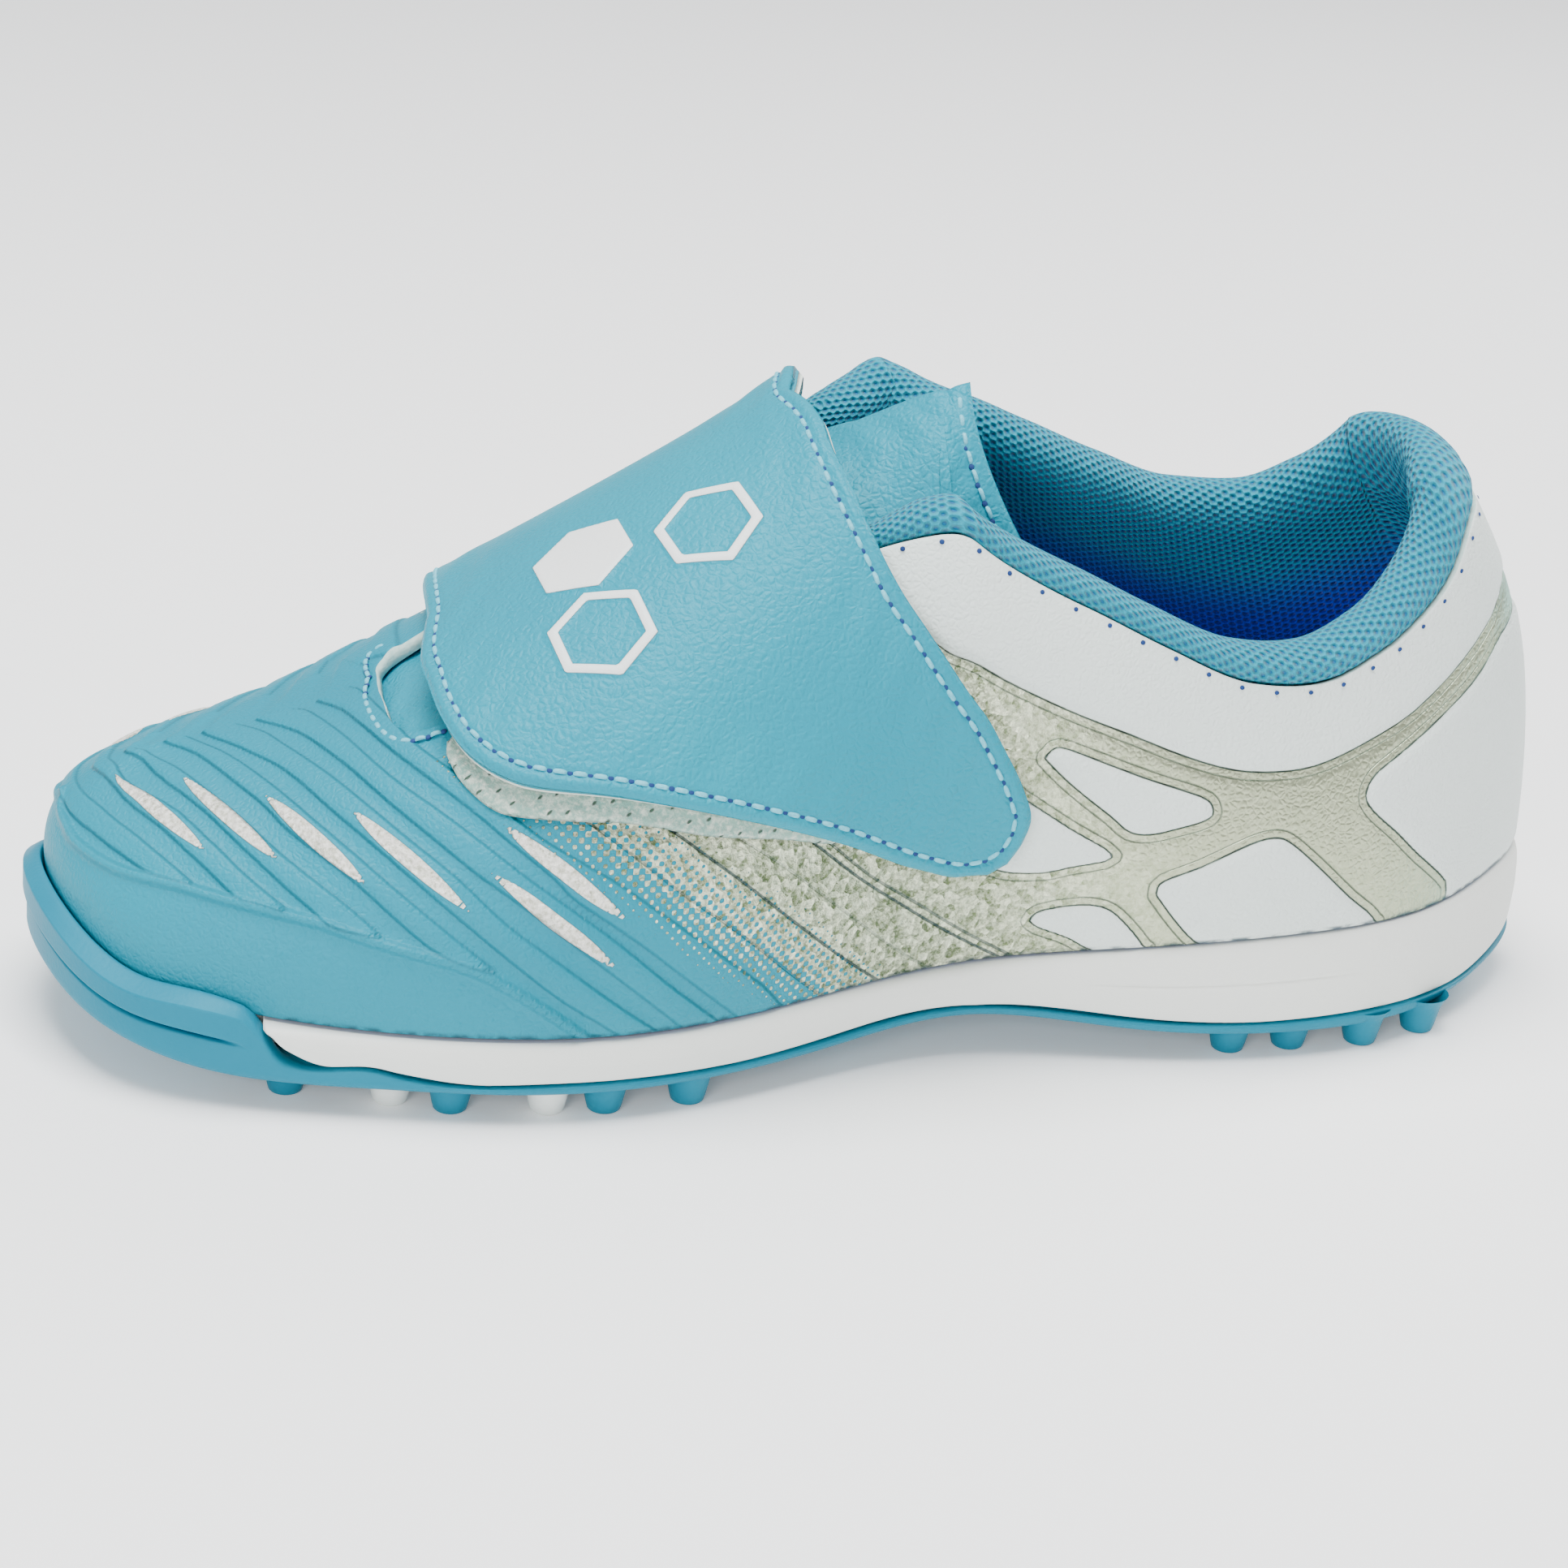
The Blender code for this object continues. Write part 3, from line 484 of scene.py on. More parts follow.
def mix_ring(first, second, share):
    """Ring between two rings, column by column."""
    return first + (second - first) * np.asarray(share)[:, None]


SOLE_COLUMNS = 24
ring = np.arange(ROUND * SOLE_COLUMNS) / SOLE_COLUMNS
BASE, SPLIT, FEATHER = heights(ring)
TOE = np.clip((3.75 - fold(ring)) / 0.55, 0, 1)
WRAP = np.clip((SPLIT - FEATHER) / 0.0010, 0, 1)
RIM = RIM_WALL + (BUMPER_WALL - RIM_WALL) * TOE
PLATE_TOP = BASE + PLATE_THICK
STEEP = np.abs(heights(ring + 0.33)[1] - heights(ring - 0.33)[1]) * 0.2
LEDGE = np.minimum(SPLIT + GAP * 1.5 + STEEP, FEATHER - 0.0012)
steps = np.linspace(0, 0.6, 61)
levels = meridian(ring[:, None], steps[None, :])[..., 2]
AT_SPLIT = np.array([np.interp(goal, level, steps) for goal, level in zip(SPLIT, levels)])
LIP_OUT = mix_ring(level_ring(ring, 0.0002, SPLIT), skin(ring, AT_SPLIT, GAP + BUMPER_LIP), WRAP)
LIP_IN = mix_ring(level_ring(ring, RIM, SPLIT), skin(ring, AT_SPLIT, GAP), WRAP)
BACK = mix_ring(level_ring(ring, RIM + 0.0003, SPLIT + (PLATE_TOP - SPLIT) * 0.2),
                level_ring(ring, RIM, LEDGE - 0.0006), WRAP)
GROOVE_LINE = BASE + (SPLIT - BASE) * 0.50
cut = np.clip((3.05 - fold(ring)) / 0.35, 0, 1)
foot_line = BASE + EDGE_ROUND * 0.9
top_line = SPLIT - 0.0009 * TOE - 0.0002
SIDE_ROWS = 30
NEAR_MIDDLE = 0.11
NICK_DEPTH = 0.0011
NICK_WIDTH = 0.00020
SHELF_OUT = 0.0005
side = []
# dark holds the groove's profile along each row: the mask of the painted shade inside the groove.
dark = []
for part in np.linspace(0, 1, SIDE_ROWS):
    bent = part - NEAR_MIDDLE * np.sin((part - 0.5) * 2 * np.pi)
    at = foot_line + (top_line - foot_line) * bent
    nick = np.exp(-((at - GROOVE_LINE) / NICK_WIDTH) ** 2) * cut
    shelf = np.clip((at - GROOVE_LINE) / 0.0006, 0, 1) * cut * TOE
    side.append(level_ring(ring, 0.0001 - SHELF_OUT * shelf + NICK_DEPTH * nick, at))
    dark.append(nick)
foot_part = soften([
    level_ring(ring, EDGE_ROUND + 0.0012, BASE),
    level_ring(ring, EDGE_ROUND * 0.7, BASE + 0.00005),
    level_ring(ring, EDGE_ROUND * 0.15, BASE + EDGE_ROUND * 0.5),
    side[0],
])
top_part = soften([
    side[-1],
    LIP_OUT,
    mix_ring(LIP_OUT, LIP_IN, np.full(len(ring), 0.6)) + np.array((0, 0, 0.0002)),
    LIP_IN,
    BACK,
    level_ring(ring, RIM + 0.0015, PLATE_TOP),
])
stack = np.concatenate((foot_part[:-1], side, top_part[1:]))
plain_foot = np.zeros((len(foot_part) - 1) * len(ring))
plain_top = np.zeros((len(top_part) - 1) * len(ring))
plain_caps = np.zeros(2 * (len(ring) // 2 - 1) * (RUNGS - 1))
dark = np.concatenate((plain_foot, np.ravel(dark), plain_top, plain_caps))


def attribute(tree, label):
    """Value that a piece carries at each of its points."""
    return node(tree, "ShaderNodeAttribute", attribute_name=label).outputs["Fac"]


RUBBER, tree, shader, spot = new_material("blue_rubber")
cloud = noise(tree, spot, 60.0, 3.0)
pores = noise(tree, spot, 1900.0, 2.0)
colour = blend_colour(tree, cloud, (0.0, 0.150, 0.235, 1), (0.0, 0.195, 0.290, 1))
# Painted shade: the rubber turns dark navy inside the side groove, where shade falls.
colour = blend_colour(tree, ramp(tree, attribute(tree, "nick"), 0.25, 0.8), colour, (0.001, 0.020, 0.110, 1))
tree.links.new(colour, shader.inputs["Base Color"])
tree.links.new(calc(tree, "MULTIPLY_ADD", cloud, 0.12, 0.42), shader.inputs["Roughness"])
emboss(tree, shader, pores, 0.25, 0.0002)
shader.inputs["Specular IOR Level"].default_value = 0.34
shader.inputs["Specular Tint"].default_value = (0.35, 0.85, 1.0, 1)

outsole = ring_solid("outsole_skin", stack, RUBBER, values={"nick": dark})
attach(outsole, "root")
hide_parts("outsole")

WHITE_RUBBER, tree, shader, spot = new_material("white_rubber")
pores = noise(tree, spot, 1500.0, 2.0)
tint(tree, shader, pores, (0.70, 0.74, 0.71, 1), (0.78, 0.81, 0.78, 1))
shader.inputs["Roughness"].default_value = 0.5
STUD_SIDES = 28
STUD_PROFILE = (
    # radius as a share from tip to root, height as a share of the stud
    (0.00, 0.000), (0.70, 0.000), (0.92, 0.010), (1.02, 0.060), (1.12, 0.250), (1.30, 0.700),
    (1.38, 0.920), (1.50, 1.080), (1.80, 1.350),
)
studs = np.array(STUD_TABLE)
profile = np.array(STUD_PROFILE)
turn = np.arange(STUD_SIDES) * 2 * np.pi / STUD_SIDES
around_axis = np.stack((np.cos(turn), np.sin(turn)), -1)
middle = studs[:, :2] * (LENGTH, BALL_WIDTH) - MIDDLE
flat = middle[:, None, None, :] + profile[None, :, None, 0:1] * STUD_TIP * around_axis[None, None]
tall = np.broadcast_to(profile[None, :, None, 1] * STUD_HEIGHT, flat.shape[:3])
points = np.concatenate((flat, tall[..., None]), -1)
for white in (0, 1):
    chosen = points[studs[:, 2] == white]
    block = len(profile) * STUD_SIDES
    faces = []
    for index in range(len(chosen)):
        faces += band_faces(len(profile), STUD_SIDES, index * block, True)
    group = place_mesh("studs_white" if white else "studs_blue", chosen.reshape(-1, 3), faces,
                       [WHITE_RUBBER if white else RUBBER], weld=True)
    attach(group, "root")
    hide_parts("outsole")

# Midsole
# A wedge of pressed white foam between the rubber plate and the upper. It is moulded with
# a flat side and a faint pressed line at the heel, and cemented on both faces.

LASTING_MARGIN = 0.0065
WALL = 0.0018
SHOW = np.clip((FEATHER - SPLIT - 0.0008) / 0.0010, 0, 1)
BEHIND = RIM + GAP * TOE - 0.0004 * (1 - TOE) + STEEP
TOP_INSET = (BEHIND + 0.0001) * (1 - SHOW) + 0.0002 * SHOW
SEAT = FEATHER - GAP
BOARD_INSET = foot_inset(ring) + LASTING_MARGIN + GAP
PRESSED = SHOW * np.clip((fold(ring) - 8.6) / 0.4, 0, 1) * np.clip((10.6 - fold(ring)) / 0.4, 0, 1)
stack = [
    level_ring(ring, RIM + 0.0015 + GAP + STEEP, PLATE_TOP + GAP * 1.4),
    level_ring(ring, BEHIND, LEDGE - 0.0002),
    level_ring(ring, BEHIND * 0.4 + TOP_INSET * 0.6, LEDGE - 0.00005),
    level_ring(ring, TOP_INSET, LEDGE + 0.00015),
    level_ring(ring, TOP_INSET - 0.0002 * SHOW, LEDGE * 0.75 + SEAT * 0.25),
    level_ring(ring, TOP_INSET - 0.0003 * SHOW, LEDGE * 0.53 + SEAT * 0.47),
    level_ring(ring, TOP_INSET - 0.0003 * SHOW + 0.0004 * PRESSED, LEDGE * 0.50 + SEAT * 0.50),
    level_ring(ring, TOP_INSET - 0.0003 * SHOW, LEDGE * 0.47 + SEAT * 0.53),
    level_ring(ring, TOP_INSET - 0.0001 * SHOW, LEDGE * 0.12 + SEAT * 0.88),
    level_ring(ring, TOP_INSET + 0.0006 * SHOW, SEAT + 0.0001),
    level_ring(ring, TOP_INSET + 0.0020 * SHOW, SEAT + 0.0001),
    level_ring(ring, BOARD_INSET, SEAT),
    level_ring(ring, BOARD_INSET + 0.0004, SEAT + WALL + GAP),
]
FOAM, tree, shader, spot = new_material("white_foam")
cloud = noise(tree, spot, 35.0, 4.0)
cells = node(tree, "ShaderNodeTexVoronoi", {"Vector": spot, "Scale": 1100.0}).outputs["Distance"]
tint(tree, shader, cloud, (0.72, 0.74, 0.70, 1), (0.80, 0.82, 0.78, 1))
tree.links.new(calc(tree, "MULTIPLY_ADD", cloud, 0.15, 0.48), shader.inputs["Roughness"])
emboss(tree, shader, cells, 0.12, 0.0002)
midsole = ring_solid("midsole_foam", soften(stack), FOAM)
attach(midsole, "root")
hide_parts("midsole")

# Insole
# A soft sheet of foam under a blue woven cover, lying on the upper's turned margin. Its edge
# is rounded and its middle is pressed down a little by the foot.

INSOLE_THICK = 0.0030
SOCK_INSET = foot_inset(ring) + WALL + 0.0032
SOCK_FOOT = FEATHER + WALL
SOCK_TOP = SOCK_FOOT + INSOLE_THICK
stack = [
    level_ring(ring, SOCK_INSET + 0.0006, SOCK_FOOT + 0.0009),
    level_ring(ring, SOCK_INSET + 0.0001, SOCK_FOOT + 0.0010),
    level_ring(ring, SOCK_INSET, SOCK_FOOT + 0.0015),
    level_ring(ring, SOCK_INSET, SOCK_TOP - 0.0002),
    level_ring(ring, SOCK_INSET + 0.0003, SOCK_TOP + 0.0004),
    level_ring(ring, SOCK_INSET + 0.0012, SOCK_TOP + 0.0005),
    level_ring(ring, SOCK_INSET + 0.0040, SOCK_TOP + 0.0002),
    level_ring(ring, SOCK_INSET + 0.0080, SOCK_TOP - 0.0002),
]
COVER, tree, shader, spot = new_material("insole_cover")
warp = node(tree, "ShaderNodeTexWave", {"Vector": spot, "Scale": 420.0, "Distortion": 0.4}).outputs[1]
cloud = noise(tree, spot, 90.0, 3.0)
tint(tree, shader, warp, (0.03, 0.12, 0.42, 1), (0.07, 0.24, 0.58, 1))
tree.links.new(calc(tree, "MULTIPLY_ADD", cloud, 0.1, 0.8), shader.inputs["Roughness"])
emboss(tree, shader, warp, 0.4, 0.0003)
insole = ring_solid("insole_sheet", soften(stack), COVER, rungs=24)
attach(insole, "root")
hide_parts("insole")

# Upper
# One shell of coated synthetic leather over a textile backing, turned under the foot and
# cemented. Its ribs, silver leaves, panels and piping are pressed into the coat by heat.

EDGE_TABLE = (
    # station, lateral open share, medial open share
    (3.600, 0.000, 0.000),
    (3.650, 0.060, 0.030),
    (3.720, 0.110, 0.050),
    (3.800, 0.175, 0.065),
    (3.920, 0.235, 0.075),
    (4.150, 0.272, 0.085),
    (4.50, 0.280, 0.100),
    (5.50, 0.300, 0.150),
    (6.30, 0.330, 0.210),
    (7.00, 0.363, 0.280),
    (7.50, 0.385, 0.325),
    (8.00, 0.397, 0.325),
    (8.50, 0.410, 0.312),
    (9.00, 0.436, 0.310),
    (9.50, 0.476, 0.332),
    (10.00, 0.520, 0.376),
    (10.50, 0.535, 0.430),
    (11.00, 0.513, 0.446),
    (11.50, 0.470, 0.412),
    (12.00, 0.420, 0.374),
    (12.50, 0.368, 0.350),
    (13.00, 0.342, 0.342),
)
EDGE = np.array(EDGE_TABLE)
# Pattern lines, as station and share down from the crest; the far side mirrors them.
RIB_TABLE = (
    # lower edge of the rib, upper edge of the rib
    (((0.0, 0.515), (0.48, 0.528), (1.10, 0.520), (1.59, 0.552), (1.94, 0.595), (2.17, 0.609), (2.42, 0.622)),
     ((0.0, 0.430), (0.50, 0.424), (1.06, 0.417), (1.66, 0.465), (2.09, 0.542), (2.42, 0.616))),
    (((0.0, 0.330), (0.55, 0.305), (1.12, 0.320), (1.88, 0.414), (2.33, 0.518), (2.59, 0.586), (2.83, 0.651),
      (3.04, 0.672), (3.24, 0.695)),
     ((0.0, 0.250), (0.40, 0.238), (0.81, 0.251), (1.89, 0.338), (2.46, 0.469), (2.85, 0.581),
      (3.25, 0.688))),
    (((0.0, 0.172), (0.60, 0.155), (1.25, 0.178), (2.12, 0.317), (2.80, 0.502), (3.37, 0.672), (3.60, 0.738),
      (3.78, 0.759), (3.95, 0.775)),
     ((0.0, 0.130), (0.73, 0.113), (1.48, 0.158), (1.99, 0.227), (2.64, 0.387), (3.11, 0.525), (3.65, 0.680),
      (3.95, 0.772))),
    (((0.26, 0.0), (1.20, 0.060), (1.75, 0.110), (2.15, 0.178), (2.63, 0.300), (2.89, 0.374), (3.15, 0.461),
      (3.67, 0.612), (4.01, 0.724), (4.27, 0.802), (4.47, 0.836), (4.68, 0.860)),
     ((1.20, 0.0), (1.82, 0.075), (2.35, 0.164), (2.97, 0.327), (3.59, 0.523), (3.97, 0.649), (4.22, 0.728),
      (4.47, 0.802), (4.68, 0.857))),
    (((1.55, 0.0), (2.18, 0.092), (2.57, 0.166), (3.00, 0.267), (3.55, 0.448), (4.04, 0.612), (4.36, 0.718),
      (4.71, 0.822), (5.08, 0.914), (5.47, 0.987), (5.60, 1.02)),
     ((2.10, 0.0), (2.52, 0.070), (2.80, 0.142), (3.18, 0.248), (3.49, 0.344), (3.82, 0.457), (4.11, 0.556),
      (4.40, 0.652), (4.73, 0.767), (5.07, 0.851), (5.41, 0.926), (5.73, 0.989), (5.90, 1.02))),
    (((2.33, 0.0), (2.75, 0.075), (3.05, 0.145), (3.51, 0.291), (3.88, 0.426), (4.19, 0.535), (4.48, 0.635),
      (4.65, 0.686), (5.05, 0.793), (5.39, 0.874), (5.69, 0.940), (5.89, 0.985), (6.02, 1.02)),
     ((2.76, 0.0), (2.96, 0.038), (3.40, 0.179), (3.89, 0.365), (4.23, 0.479), (4.51, 0.574), (4.80, 0.669),
      (5.10, 0.751), (5.44, 0.831), (5.74, 0.901), (6.06, 0.969), (6.18, 0.995), (6.30, 1.02))),
    (((3.00, 0.0), (3.31, 0.078), (3.57, 0.171), (3.87, 0.287), (4.19, 0.404), (4.48, 0.509), (4.74, 0.605),
      (5.01, 0.693), (5.16, 0.743), (5.54, 0.827), (5.92, 0.909), (6.25, 0.979), (6.42, 1.02)),
     ((3.34, 0.0), (3.48, 0.040), (3.82, 0.187), (4.08, 0.305), (4.37, 0.414), (4.64, 0.515), (4.90, 0.606),
      (5.13, 0.667), (5.41, 0.730), (5.65, 0.784), (6.07, 0.870), (6.45, 0.945), (6.63, 0.993),
      (6.75, 1.02))),
)
LEAF_TABLE = (
    # axis of each silver leaf, then its half width in millimetres
    (((0.87, 0.274), (1.56, 0.321), (1.95, 0.388), (2.24, 0.453), (2.49, 0.515)), 1.02),
    (((1.98, 0.241), (2.33, 0.327), (2.62, 0.405), (2.88, 0.479), (3.13, 0.550)), 1.05),
    (((2.85, 0.335), (3.14, 0.422), (3.40, 0.505), (3.63, 0.580), (3.83, 0.649)), 1.05),
    (((3.64, 0.438), (3.89, 0.526), (4.12, 0.603), (4.32, 0.671), (4.51, 0.733)), 1.02),
    (((4.69, 0.565), (4.88, 0.628), (5.07, 0.685), (5.26, 0.739), (5.47, 0.790)), 1.05),
    (((4.63, 0.659), (4.83, 0.717), (5.02, 0.771), (5.23, 0.822), (5.44, 0.872)), 1.00),
)
GROOVE_TABLE = (
    # thin pressed lines through the dots, then their strength
    (((5.00, 0.550), (5.23, 0.616), (5.49, 0.688), (5.84, 0.773), (6.23, 0.850), (6.56, 0.918),
      (6.95, 1.0)), 0.6),
    (((5.40, 0.590), (5.71, 0.663), (5.98, 0.726), (6.38, 0.808), (6.81, 0.892), (7.19, 0.966),
      (7.36, 1.0)), 1.0),
    (((5.90, 0.660), (6.19, 0.714), (6.53, 0.776), (6.85, 0.835), (7.12, 0.885), (7.41, 0.941),
      (7.72, 1.0)), 0.4),
    (((6.30, 0.675), (6.65, 0.741), (7.06, 0.816), (7.47, 0.881), (7.86, 0.945), (8.18, 1.0)), 1.0),
    (((6.42, 0.682), (6.77, 0.748), (7.13, 0.815), (7.54, 0.877), (7.92, 0.940), (8.26, 1.0)), 0.8),
)
PIPE_LINE = (
    (0.0, 0.512), (0.12, 0.540), (0.24, 0.563), (0.51, 0.579), (0.75, 0.598), (1.00, 0.600),
    (1.28, 0.605), (1.57, 0.613), (1.88, 0.619), (2.30, 0.631), (2.67, 0.656), (3.08, 0.689),
    (3.45, 0.724), (3.67, 0.753), (3.89, 0.782), (4.16, 0.812), (4.41, 0.839), (4.59, 0.861),
    (4.75, 0.889), (4.97, 0.931), (5.16, 0.969), (5.36, 1.01),
)
SILVER_TOP = (
    (5.60, 0.300), (6.40, 0.390), (7.24, 0.491), (7.47, 0.526), (7.67, 0.548), (8.06, 0.562),
    (8.48, 0.574), (8.81, 0.590), (9.13, 0.609), (9.44, 0.633), (9.73, 0.651), (10.01, 0.657),
    (10.29, 0.656), (10.68, 0.639), (11.12, 0.615), (11.73, 0.563), (12.25, 0.520), (12.59, 0.484),
    (13.0, 0.460),
)
DOTS_START = (
    (4.20, 0.400), (4.64, 0.532), (4.79, 0.579), (5.09, 0.686), (5.56, 0.803), (5.92, 0.886), (6.62, 1.0),
)
DOTS_FULL = ((5.60, 0.600), (6.08, 0.709), (6.45, 0.773), (6.98, 0.863), (7.54, 0.964), (7.75, 1.0))
WINDOW_TABLE = (
    ((8.48, 0.662), (8.60, 0.644), (8.84, 0.655), (9.15, 0.677), (9.46, 0.699), (9.53, 0.716), (9.49, 0.737),
     (9.26, 0.757), (9.11, 0.767), (8.98, 0.764), (8.87, 0.738), (8.64, 0.694)),
    ((8.04, 0.703), (8.34, 0.734), (8.60, 0.768), (8.85, 0.809), (8.58, 0.829), (8.38, 0.840), (8.10, 0.836),
     (7.80, 0.800), (7.85, 0.720)),
    ((9.11, 0.880), (9.15, 0.857), (9.40, 0.829), (9.74, 0.787), (9.92, 0.778), (10.02, 0.794),
     (10.16, 0.840), (10.40, 0.925), (10.61, 0.985), (10.62, 1.02), (10.17, 1.02), (9.55, 1.02),
     (9.37, 0.990), (9.23, 0.937)),
    ((8.33, 0.927), (8.38, 0.912), (8.58, 0.902), (8.74, 0.903), (8.86, 0.923), (9.02, 0.986), (9.05, 1.02),
     (8.84, 1.02), (8.59, 0.968), (8.39, 0.941)),
)
HEEL_PANEL = (
    (13.0, 0.545), (12.70, 0.548), (12.30, 0.565), (11.94, 0.599), (11.43, 0.638), (10.90, 0.680),
    (10.69, 0.700), (10.60, 0.728), (10.64, 0.760), (10.81, 0.814), (11.00, 0.874), (11.34, 0.960),
    (11.50, 1.02), (13.0, 1.02),
)
PER_STATION = 30
OUTER_ROWS = 92
INNER_ROWS = 12
PLACES = np.arange(ROUND * PER_STATION) / PER_STATION
HALF = STATIONS * PER_STATION + 1


def edge_share(where):
    """Share of the meridian at which the upper's wall ends."""
    at = np.asarray(where, float) % ROUND
    lateral = 1 - smooth(at, EDGE[:, 0], EDGE[:, 1])
    medial = 1 - smooth(ROUND - at, EDGE[:, 0], EDGE[:, 2])
    return np.where(at <= STATIONS, lateral, medial)


def flow(points, parts=3):
    """Smooth line through pattern points: each part is a cubic set by its four neighbours."""
    knots = np.array(points, float)
    knots = np.concatenate((2 * knots[:1] - knots[1:2], knots, 2 * knots[-1:] - knots[-2:-1]))
    t = (np.arange(parts) / parts)[None, :, None]
    a, b, c, d = (knots[i:len(knots) - 3 + i, None] for i in range(4))
    cubic = 2 * b + (c - a) * t + (2 * a - 5 * b + 4 * c - d) * t ** 2 + (3 * b - a - 3 * c + d) * t ** 3
    return np.concatenate((cubic.reshape(-1, 2) / 2, knots[-2:-1]))


def on_last(line):
    """Pattern line laid on the lateral side of the closed form, in metres."""
    return skin(line[:, 0], 1 - np.clip(line[:, 1], 0, 1))


def far_from(line, spots):
    """Shortest distance from each spot to a line in space, in millimetres."""
    best = np.full(spots.shape[:-1], 1e3)
    for start, end in zip(line[:-1], line[1:]):
        run = end - start
        t = np.clip((spots - start) @ run / max(run @ run, 1e-12), 0, 1)
        best = np.minimum(best, np.linalg.norm(spots - start - t[..., None] * run, axis=-1))
    return best * 1000


def within(shape, station, drop):
    """True where a place of the pattern lies inside a closed shape, by counting crossings."""
    result = np.zeros(station.shape, bool)
    for (x0, y0), (x1, y1) in zip(shape, np.roll(shape, -1, 0)):
        if y0 == y1:
            continue
        crossing = (drop >= min(y0, y1)) & (drop < max(y0, y1))
        result ^= crossing & (station < x0 + (drop - y0) * (x1 - x0) / (y1 - y0))
    return result


def step_of(value, width):
    """Smooth step from nought to one over a width centred on nought."""
    t = np.clip(value / width + 0.5, 0, 1)
    return t * t * (3 - 2 * t)


columns = PLACES
edge = edge_share(columns)
late = 2.2 * np.clip((6.5 - fold(columns)) / 2, 0, 1)
climb = np.linspace(0.0, 1.0, OUTER_ROWS)[:, None]
climb = np.maximum(climb, 0.006)
share = climb * (1 - (1 - edge) * climb ** late)
station = fold(columns)[None, :] + 0 * share
body = skin(columns[None, :] + 0 * share, share)
half_share = share[:, :HALF]
half_station = station[:, :HALF]
half_drop = 1 - half_share
half_body = body[:, :HALF]

ribs = np.full(half_body.shape[:2], -9.0)
for lower, upper_edge in RIB_TABLE:
    low_line = flow(lower)
    high_line = flow(upper_edge)
    loop = np.concatenate((low_line, high_line[::-1]))
    gap = np.minimum(far_from(on_last(low_line), half_body), far_from(on_last(high_line), half_body))
    ribs = np.maximum(ribs, np.where(within(loop, half_station, half_drop), gap, -gap))
leaves = np.full(ribs.shape, -9.0)
for axis, half_width in LEAF_TABLE:
    line = on_last(flow(axis))
    run = np.linalg.norm(np.diff(line, axis=0), axis=1)
    reach = np.concatenate(([0], np.cumsum(run))) / run.sum()
    for first, last, low, high in zip(line[:-1], line[1:], reach[:-1], reach[1:]):
        span = last - first
        t = np.clip((half_body - first) @ span / (span @ span), 0, 1)
        gap = np.linalg.norm(half_body - first - t[..., None] * span, axis=-1) * 1000
        place = np.clip(np.abs(2 * (low + (high - low) * t) - 1), 0, 1)
        taper = half_width * (1 - place ** 2.2) ** 0.8
        leaves = np.maximum(leaves, taper - gap)
top_line = flow(SILVER_TOP)
start_line = flow(DOTS_START)
full_line = flow(DOTS_FULL)
silver_loop = np.concatenate((start_line[::-1], ((5.0, 0.0), (13.0, 0.0), (13.0, 1.03), (6.62, 1.03))))
white_loop = np.concatenate((top_line, ((13.0, 0.0), (5.0, 0.0))))
top_gap = far_from(on_last(top_line), half_body)
start_gap = far_from(on_last(start_line), half_body)
full_gap = far_from(on_last(full_line), half_body)
in_silver = within(silver_loop, half_station, half_drop)
white = np.where(within(white_loop, half_station, half_drop), top_gap, -top_gap)
panels = np.full(ribs.shape, -9.0)
for shape in WINDOW_TABLE:
    closed = flow(shape + shape[:1])
    gap = far_from(on_last(closed), half_body)
    panels = np.maximum(panels, np.where(within(closed, half_station, half_drop), gap, -gap))
heel = flow(HEEL_PANEL)
gap = far_from(on_last(heel[:-4]), half_body)
panels = np.maximum(panels, np.where(within(heel, half_station, half_drop), gap, -gap))
past_full = within(np.concatenate((full_line[::-1], ((5.30, 0.0), (13.0, 0.0), (13.0, 1.03), (7.8, 1.03)))),
                   half_station, half_drop)
cover = np.where(in_silver, start_gap / (start_gap + np.where(past_full, 0, full_gap) + 1e-6), 0.0)
cover = np.where(in_silver & past_full, 1.0, cover) ** 0.75
grooves = np.zeros(ribs.shape)
seams = {}
for number, (line, strength) in enumerate(GROOVE_TABLE):
    path = flow(line)
    gap = far_from(on_last(path), half_body)
    ahead = within(np.concatenate((path, ((path[-1, 0], 1.03), (0.0, 1.03), (0.0, path[0, 1])))),
                   half_station, half_drop)
    seams["groove_%d" % number] = np.where(ahead, gap, -gap)
    grooves = np.maximum(grooves, strength * np.exp(-(gap / 0.45) ** 2))
pipe = far_from(on_last(flow(PIPE_LINE)), half_body)
coat = np.maximum(white, panels)
foil = np.where(in_silver, np.minimum(start_gap, 9.0), -start_gap)

# Rises and depths of the relief, in millimetres.
RIB_RISE = 0.42
PIPE_RISE = 0.70
PIPE_WIDTH = 0.72
LEAF_RISE = 0.10
PANEL_RISE = 0.35
WINDOW_RIM = 0.22
WHITE_RIM = 0.20
OUTER_RIM = 0.14
LINE_DEPTH = 0.22


def raised_panel(gap, spread, rim):
    """Rise of a panel by distance inwards: a step, less a groove at its rim and a finer one outside."""
    rise = PANEL_RISE * step_of(gap - 0.3, spread) - rim * np.exp(-((gap + 0.1) / 0.35) ** 2)
    return rise - OUTER_RIM * np.exp(-((gap + 1.25) / 0.30) ** 2)


relief = RIB_RISE * step_of(ribs, 0.8) + PIPE_RISE * np.exp(-(pipe / PIPE_WIDTH) ** 2)
relief += LEAF_RISE * step_of(leaves, 0.6) + raised_panel(panels, 1.4, WINDOW_RIM)
relief += raised_panel(white, 1.6, WHITE_RIM) * step_of(half_station - 6.5, 0.8)
relief -= LINE_DEPTH * grooves
relief *= step_of(half_share - 0.012, 0.02)


def mirrored(values):
    """Pattern of the lateral half copied to the medial half."""
    return np.concatenate((values, values[:, HALF - 2:0:-1]), 1)


